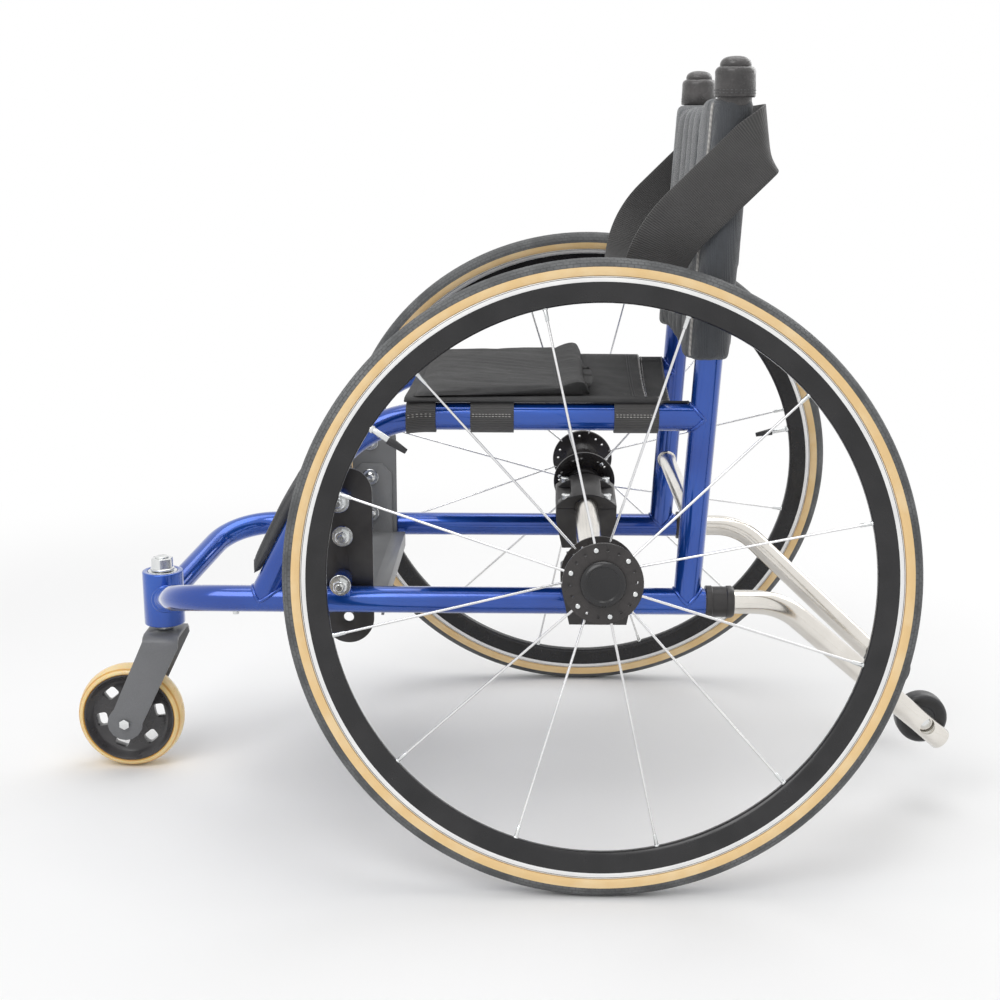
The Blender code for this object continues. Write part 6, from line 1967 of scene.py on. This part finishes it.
@dataclass
class BackRest:
    """Padded upholstery with sleeves over the posts, and leather caps above it."""

    tube_frame: WeldedFrame
    low: float = 0.522
    high: float = 0.784
    sleeve_depth: float = 0.0215
    sleeve_width: float = SLEEVE_WIDTH
    pad_depth: float = 0.017
    channels: int = 6
    channel_depth: float = 0.006
    sag: float = 0.014
    cap_top: float = 0.824
    cap_radius: float = 0.0205
    neck_radius: float = 0.0172
    neck: float = 0.008

    def build(self) -> None:
        """Make the upholstery, its seams and the caps."""
        self.upholstery()
        for name, sign in SIDES.items():
            self.cap(name, sign)

    def front(self, across: float) -> float:
        """How far forward the padded face stands, at a share -1 to 1 of the width."""
        lane = (across + 1.0) / 2.0 * self.channels
        ripple = self.channel_depth * abs(math.sin(math.pi * lane)) ** 0.8
        sag = self.sag * (1.0 - across ** 2)
        swell = self.pad_depth * 0.55 * (1.0 - across ** 2)
        return sag - self.sleeve_depth - swell - ripple

    def section(self) -> list[tuple[float, float]]:
        """Outline of the upholstery at one height."""
        half = self.tube_frame.half_width
        lanes = 12 * self.channels
        front = [
            (self.front(across), -half * across)
            for across in (2.0 * i / lanes - 1.0 for i in range(1, lanes))
        ]
        rear = [
            (self.sleeve_depth * 0.5 + self.sag * (1.0 - across ** 2), half * across)
            for across in (2.0 * i / 32 - 1.0 for i in range(1, 32))
        ]
        near, far = (
            [
                (self.sleeve_depth * x, side + self.sleeve_width * y)
                for x, y in arc((0.0, 0.0), 1.0, start, start + 180.0, 16)
            ]
            for side, start in ((-half, -180.0), (half, 0.0))
        )
        return front + near + rear + far

    def upholstery(self) -> None:
        """Extrude the section up the posts, fill it as cloth and sew its channels."""
        low, high = self.low + GAP, self.high - GAP
        start = self.tube_frame.post_x(low)
        ring = [place(start + x, y, low) for x, y in self.section()]
        back = Bench.loop("back_upholstery_cloth", ring, "NGON")
        rise = self.tube_frame.post_along * (high - low) / 12
        for _ in range(12):
            bpy.ops.mesh.extrude_region_move(TRANSFORM_OT_translate={"value": rise})
        Bench.shut()
        Sewing.puff(back, 0.005, 4.0, 0.005, self.between_posts)
        Bench.apply(back, "SMOOTH", factor=0.5, iterations=3)
        heights = [vertex.co.z for vertex in back.data.vertices]
        stretch = (high - low) / (max(heights) - min(heights))
        for vertex in back.data.vertices:
            vertex.co.z = low + (vertex.co.z - min(heights)) * stretch
        Bench.subdivide(back, 1)
        self.sew(back)
        Bench.outward(back)
        Dresser.dress(back, "frame", BACK_NYLON, ["back_upholstery"], SOFT)
        skin = Sewing.skin(back)
        for index in range(1, self.channels):
            self.seam(skin, index)
        for name, sign in SIDES.items():
            self.piping(skin, name, sign)

    def between_posts(self, point: Vector) -> float:
        """1 in the middle of the back, falling to 0 on the sleeves, where the posts hold the cover."""
        return max(0.0, min(1.0, (self.tube_frame.half_width - 0.024 - abs(point.y)) / 0.03))

    def sew(self, back: Piece) -> None:
        """Draw the cover in along each channel and pucker it beside the seams."""
        half = self.tube_frame.half_width

        def draw_in(point: Vector, normal: Vector) -> Vector:
            """Grooves at the channels' seams, and wrinkles on the sleeves and the rear."""
            x = point.x - AXLE_X - self.tube_frame.post_x(point.z)
            share = point.y / half
            if x > 0.0 or abs(share) > 0.97:
                return normal * 0.0007 * noise.noise(Vector((x * 40.0, point.y * 40.0, point.z * 16.0)))
            lane = (share + 1.0) / 2.0 * self.channels
            off = abs(lane - round(lane)) * 2.0 * half / self.channels
            groove = math.exp(-(off / 0.0045) ** 2)
            pucker = noise.noise(Vector((lane * 1.5, point.z * 75.0, 2.0))) * math.exp(-(off / 0.012) ** 2)
            return Vector((0.0042 * groove + 0.0014 * pucker, 0.0, 0.0))

        Bench.displace(back, draw_in)

    def seam(self, skin: BVHTree, index: int) -> None:
        """One line of stitches up a channel."""
        y = self.tube_frame.half_width * (2.0 * index / self.channels - 1.0)
        Sewing.sew(f"back_stitches_{index}", self.rise(skin, y, 0.006, 60, 0.0002))

    def rise(self, skin: BVHTree, y: float, margin: float, count: int, lift: float) -> list[Vector]:
        """An upright line of points on the padded face, clear of its ends by a margin."""
        low, length = self.low + margin, self.high - self.low - 2.0 * margin
        starts = [Vector((AXLE_X - 0.2, y, low + length * step / (count - 1))) for step in range(count)]
        return Sewing.laid(skin, starts, REAR, lift)

    def piping(self, skin: BVHTree, name: str, sign: float) -> None:
        """Pale piping where the sleeve meets the padded face."""
        points = self.rise(skin, sign * (self.tube_frame.half_width + 0.004), 0.005, 50, 0.0004)
        Dresser.dress(Bench.line(f"back_piping_{name}", points, 0.0016, False, 7), "frame", PIPING, (), 70.0)

    def cap(self, name: str, sign: float) -> None:
        """A stitched leather cap over a post's end, slightly creased."""
        floor = self.high + GAP
        height = self.cap_top - floor
        radius = self.cap_radius
        profile = [
            (0.0, floor - self.neck), (self.neck_radius, floor - self.neck), (self.neck_radius, floor),
            (radius - 0.0008, floor), (radius, floor + 0.001), (radius, floor + height * 0.3),
            (radius - 0.0006, floor + height * 0.5), (radius - 0.0002, floor + height * 0.62),
            (radius - 0.0012, floor + height * 0.69), (radius - 0.0034, floor + height * 0.735),
            (radius - 0.0052, floor + height * 0.745), (radius - 0.0050, floor + height * 0.765),
        ]
        dome = radius - 0.0048
        profile += [
            (dome * math.cos(a) ** 0.7, floor + height * (0.775 + 0.225 * math.sin(a)))
            for a in (math.radians(7.5 * step) for step in range(1, 12))
        ]
        profile.append((0.0, self.cap_top))
        x = self.tube_frame.post_x(self.tube_frame.post_top)
        where = Matrix.Translation(place(x, sign * self.tube_frame.half_width, 0.0))
        cap = Bench.turned(f"post_cap_{name}_leather", profile, 72, where)
        Bench.displace(cap, lambda point, normal: normal * 0.0005 * noise.noise(
            Vector((point.x * 70.0, point.y * 70.0, point.z * 160.0)),
        ))
        Dresser.dress(cap, "frame", LEATHER, [f"post_cap_{name}"], 70.0)
        for label, rise in (("low", 0.004), ("high", 0.0068)):
            reach = radius + 0.0001
            ring = [
                where @ Vector((reach * math.cos(a), reach * math.sin(a), floor + rise))
                for a in (math.tau * step / 60 for step in range(61))
            ]
            Sewing.sew(f"cap_stitches_{label}_{name}", ring, 0.0034, 0.0004)


@dataclass
class Belt:
    """The ribbed belt: behind the back, down both sides and low across the front."""

    half_width: float = HALF_WIDTH
    sleeve_width: float = SLEEVE_WIDTH
    sleeve_gap: float = 0.0005
    width: float = 0.063
    thickness: float = 0.003
    back: tuple[float, float] = (0.164, 0.747)
    knee: tuple[float, float] = (0.060, 0.645)
    drop: tuple[float, float] = (0.048, 0.592)
    drop_half: float = 0.160
    sag: float = 0.008
    bends: tuple[float, float, float] = (0.020, 0.090, 0.045)

    def build(self) -> None:
        """Lay the belt along its path and give it its thickness."""
        points = self.path()
        rows = []
        for before, point, after in zip([points[0], *points], points, [*points[1:], points[-1]]):
            along = (after - before).normalized()
            upright = point.x - AXLE_X > (self.back[0] + self.knee[0]) / 2
            lean = Vector((-0.13, 0.0, 1.0) if upright else (-1.0, 0.0, 0.2))
            rows.append((point, (lean - along * lean.dot(along)).normalized()))
        rows = self.ease(rows)
        mirrored = [(Vector((p.x, -p.y, p.z)), Vector((w.x, -w.y, w.z))) for p, w in reversed(rows)]
        loop = rows + mirrored[1:]
        count = len(loop) - 1
        length = sum((b[0] - a[0]).length for a, b in zip(loop, loop[1:]))

        def spot(u: float, v: float) -> Vector:
            """A point of the belt's outer face."""
            point, wide = loop[round(v * count)]
            return point + wide * self.width * (u - 0.5)

        belt = Bench.sheet("belt_webbing", 12, count, spot, (self.width, length))
        Bench.edit(belt)
        bpy.ops.mesh.remove_doubles(threshold=1e-5)
        Bench.shut()
        area = Sewing.area(belt)
        self.outward(belt)
        Bench.apply(belt, "SOLIDIFY", thickness=self.thickness - 0.0006, offset=-1.0)
        Bench.bevel(belt, 0.0006, 2, ROUND)
        Dresser.dress(belt, "frame", WEBBING, ["belt"], CRISP)

    def outward(self, belt: Piece) -> None:
        """Turn the belt's faces away from the loop's inside."""
        centre = place(0.1, 0.0, 0.68)
        score = sum(face.normal.dot(face.center - centre) * face.area for face in belt.data.polygons)
        if score < 0.0:
            Bench.edit(belt)
            bpy.ops.mesh.flip_normals()
            Bench.done()

    def path(self) -> list[Vector]:
        """Centre line of one half of the belt, with round bends."""
        half = self.half_width + self.sleeve_width + self.sleeve_gap + self.thickness
        corners = [
            place(self.back[0], 0.0, self.back[1]), place(self.back[0], half, self.back[1]),
            place(self.knee[0], half, self.knee[1]), place(self.drop[0], self.drop_half, self.drop[1]),
            place(self.drop[0], 0.0, self.drop[1] - self.sag),
        ]
        points = [corners[0]]
        for before, corner, after, radius in zip(corners, corners[1:], corners[2:], self.bends):
            start, centre, turn, back, _ = bend_at(before, corner, after, radius)
            arm = start - centre
            steps = max(4, math.ceil(turn / math.radians(5.0)))
            self.run(points, start)
            for step in range(1, steps + 1):
                angle = turn * step / steps
                points.append(centre + arm * math.cos(angle) - back * radius * math.sin(angle))
        self.run(points, corners[-1])
        return points

    @staticmethod
    def run(points: list[Vector], target: Vector) -> None:
        """Add points on a straight run, about 8 mm apart."""
        start = points[-1].copy()
        steps = max(1, math.ceil((target - start).length / 0.008))
        for step in range(1, steps + 1):
            points.append(start.lerp(target, step / steps))

    @staticmethod
    def ease(rows: list) -> list:
        """Let the strap's turn run out over its neighbours, so that it has no sudden twist."""
        for _ in range(6):
            middle = []
            for (_, before), (point, wide), (_, after) in zip(rows, rows[1:], rows[2:]):
                middle.append((point, (before + wide * 2.0 + after).normalized()))
            rows = [rows[0], *middle, rows[-1]]
        return rows


@dataclass
class LegStrap:
    """The padded panel across the front of the legs, with bound edges."""

    tube_frame: WeldedFrame
    low: float = 0.030
    high: float = 0.150
    longer: float = 0.009
    seam_inset: float = 0.012
    seam_half: float = 0.165

    def build(self) -> None:
        """Fill the panel as cloth and sew its edges."""
        panel = Sewing.cover("leg_strap_cloth", "leg_strap", 0.004)
        lean = self.tube_frame.leg_along
        back = self.ahead * (self.tube_frame.radius + GAP)
        foot = place(self.tube_frame.leg_foot, 0.0, self.tube_frame.rail_height) + back

        def crease(point: Vector, normal: Vector) -> Vector:
            """Broad creases on the front, a low edge drawn down, and a back that stays on the legs."""
            share = (self.high - (point - foot).dot(lean)) / (self.high - self.low)
            move = lean * -self.longer * max(0.0, min(1.0, share))
            if normal.dot(self.ahead) > 0.2:
                move += self.ahead * 0.0012 * noise.noise(Vector((point.y * 26.0, point.z * 34.0, 5.0)))
            behind = (point + move - foot).dot(self.ahead)
            return move - self.ahead * min(0.0, behind)

        Bench.displace(panel, crease)
        Bench.outward(panel)
        Dresser.dress(panel, "frame", STRAP_NYLON, ["leg_strap"], SOFT)
        skin = Sewing.skin(panel)
        levels = {"low": self.low - self.longer + self.seam_inset, "high": self.high - self.seam_inset}
        for label, along in levels.items():
            middle = foot + lean * along + self.ahead * 0.05
            shares = [2.0 * index / 80 - 1.0 for index in range(81)]
            starts = [middle + Vector((0.0, self.seam_half * share, 0.0)) for share in shares]
            Sewing.sew(f"leg_strap_stitches_{label}", Sewing.laid(skin, starts, -self.ahead, 0.0002))

    @property
    def ahead(self) -> Vector:
        """Direction forward, square to the front legs."""
        return Vector((-math.sin(self.tube_frame.leg_angle), 0.0, math.cos(self.tube_frame.leg_angle)))


# --------------------------------------------------------------------------- studio


@dataclass
class Studio:
    """Pale floor, white surroundings, soft lamps and the camera."""

    floor_radius: float = 6.0
    fade_start: float = 0.7
    fade_end: float = 1.7
    lens: float = 55.18
    camera_place: tuple[float, float, float] = (-0.074023, -1.7450, 0.742197)
    pitch: float = 0.230343974
    yaw: float = -0.0185733727
    roll: float = -0.00171308944

    def build(self) -> None:
        """Make the whole studio."""
        self.floor()
        self.world()
        self.lamps()
        self.camera()

    def floor(self) -> None:
        """A pale disc that keeps the shadow near the chair and fades to white farther out."""
        Bench.rest()
        bpy.ops.mesh.primitive_circle_add(vertices=96, radius=self.floor_radius, fill_type="NGON")
        floor = Bench.named("studio_floor")
        graph = Graph("studio_floor")
        graph.fix({"Roughness": 0.9, "Specular IOR Level": 0.0, "Base Color": (0.93, 0.93, 0.93, 1.0)})
        white = graph.add("ShaderNodeEmission", {"Color": (1.0, 1.0, 1.0, 1.0), "Strength": 1.0})
        length = graph.add("ShaderNodeVectorMath", {0: graph.own}, {"operation": "LENGTH"}).outputs["Value"]
        fade = graph.add("ShaderNodeMapRange", {
            "Value": length, "From Min": self.fade_start, "From Max": self.fade_end,
        }, {"interpolation_type": "SMOOTHERSTEP"}).outputs[0]
        rays = graph.add("ShaderNodeLightPath").outputs
        mirrored = graph.math("MAXIMUM", rays["Is Glossy Ray"], rays["Is Transmission Ray"])
        seen = graph.math("MAXIMUM", rays["Is Camera Ray"], mirrored)
        mix = graph.add("ShaderNodeMixShader", {
            0: graph.math("MULTIPLY", fade, seen), 1: graph.shader.outputs["BSDF"],
            2: white.outputs["Emission"],
        })
        output = graph.tree.nodes["Material Output"]
        graph.tree.links.new(mix.outputs["Shader"], output.inputs["Surface"])
        floor.data.materials.append(graph.material)

    def world(self) -> None:
        """White where it is seen, directly or mirrored, and plain soft light elsewhere."""
        world = bpy.data.worlds.new("studio_world")
        bpy.context.scene.world = world
        world.use_nodes = True
        tree = world.node_tree
        rays = tree.nodes.new("ShaderNodeLightPath").outputs
        seen, both = tree.nodes.new("ShaderNodeMath"), tree.nodes.new("ShaderNodeMath")
        seen.operation = both.operation = "MAXIMUM"
        tree.links.new(rays["Is Glossy Ray"], both.inputs[0])
        tree.links.new(rays["Is Transmission Ray"], both.inputs[1])
        tree.links.new(rays["Is Camera Ray"], seen.inputs[0])
        tree.links.new(both.outputs[0], seen.inputs[1])
        strength = tree.nodes.new("ShaderNodeMapRange")
        strength.inputs["To Min"].default_value = 0.55
        strength.inputs["To Max"].default_value = 1.0
        tree.links.new(seen.outputs[0], strength.inputs["Value"])
        background = tree.nodes["Background"]
        background.inputs["Color"].default_value = (1.0, 1.0, 1.0, 1.0)
        tree.links.new(strength.outputs[0], background.inputs["Strength"])

    def lamps(self) -> None:
        """Three large soft lamps: above, before the near side, and behind."""
        setups = {
            "key_lamp": ((-0.9, -1.6, 2.3), (0.0, 0.0, 0.4), 1.6, 26.0),
            "top_lamp": ((0.2, 0.3, 2.6), (0.0, 0.0, 0.3), 1.8, 20.0),
            "rear_lamp": ((1.6, 1.4, 1.6), (0.0, 0.0, 0.45), 1.4, 14.0),
        }
        for name, (spot, target, size, power) in setups.items():
            lamp = bpy.data.lights.new(name, "AREA")
            lamp.shape = "SQUARE"
            lamp.size = size
            lamp.energy = power
            holder = bpy.data.objects.new(name, lamp)
            bpy.context.scene.collection.objects.link(holder)
            holder.location = spot
            holder.rotation_euler = (Vector(target) - Vector(spot)).to_track_quat("-Z", "Y").to_euler()

    def camera(self) -> None:
        """The camera at the photograph's place and angle."""
        data = bpy.data.cameras.new("photo_camera")
        data.lens = self.lens
        data.sensor_width = 36.0
        data.sensor_fit = "HORIZONTAL"
        data.clip_end = 50.0
        holder = bpy.data.objects.new("photo_camera", data)
        bpy.context.scene.collection.objects.link(holder)
        forward = Vector((
            math.sin(self.yaw) * math.cos(self.pitch), math.cos(self.yaw) * math.cos(self.pitch),
            -math.sin(self.pitch),
        ))
        right = Vector((math.cos(self.yaw), -math.sin(self.yaw), 0.0))
        down = forward.cross(right)
        turned_right = right * math.cos(self.roll) + down * math.sin(self.roll)
        turned_down = down * math.cos(self.roll) - right * math.sin(self.roll)
        turn = Matrix((turned_right, -turned_down, -forward)).transposed().to_4x4()
        holder.matrix_world = Matrix.Translation(place(*self.camera_place)) @ turn
        scene = bpy.context.scene
        scene.camera = holder
        scene.view_settings.view_transform = "Standard"


def main() -> None:
    """Build every sub-assembly in order, then the studio."""
    logging.basicConfig(level=logging.INFO, format="%(relativeCreated)7d ms %(message)s")
    welded = WeldedFrame()
    wheels = [DriveWheel("left"), DriveWheel("right", valve_angle=168.0)]
    welded.build()
    for wheel in wheels:
        wheel.build()
    AxleAndClamps(wheels).build()
    Caster().build()
    FootRest().build()
    for side in SIDES:
        AntiTip(side).build()
    Seat().build()
    BackRest(welded).build()
    Belt().build()
    LegStrap(welded).build()
    Studio().build()
    Bench.rest()
    log.info("%d pieces dressed", Dresser.count)


if __name__ == "__main__":
    main()
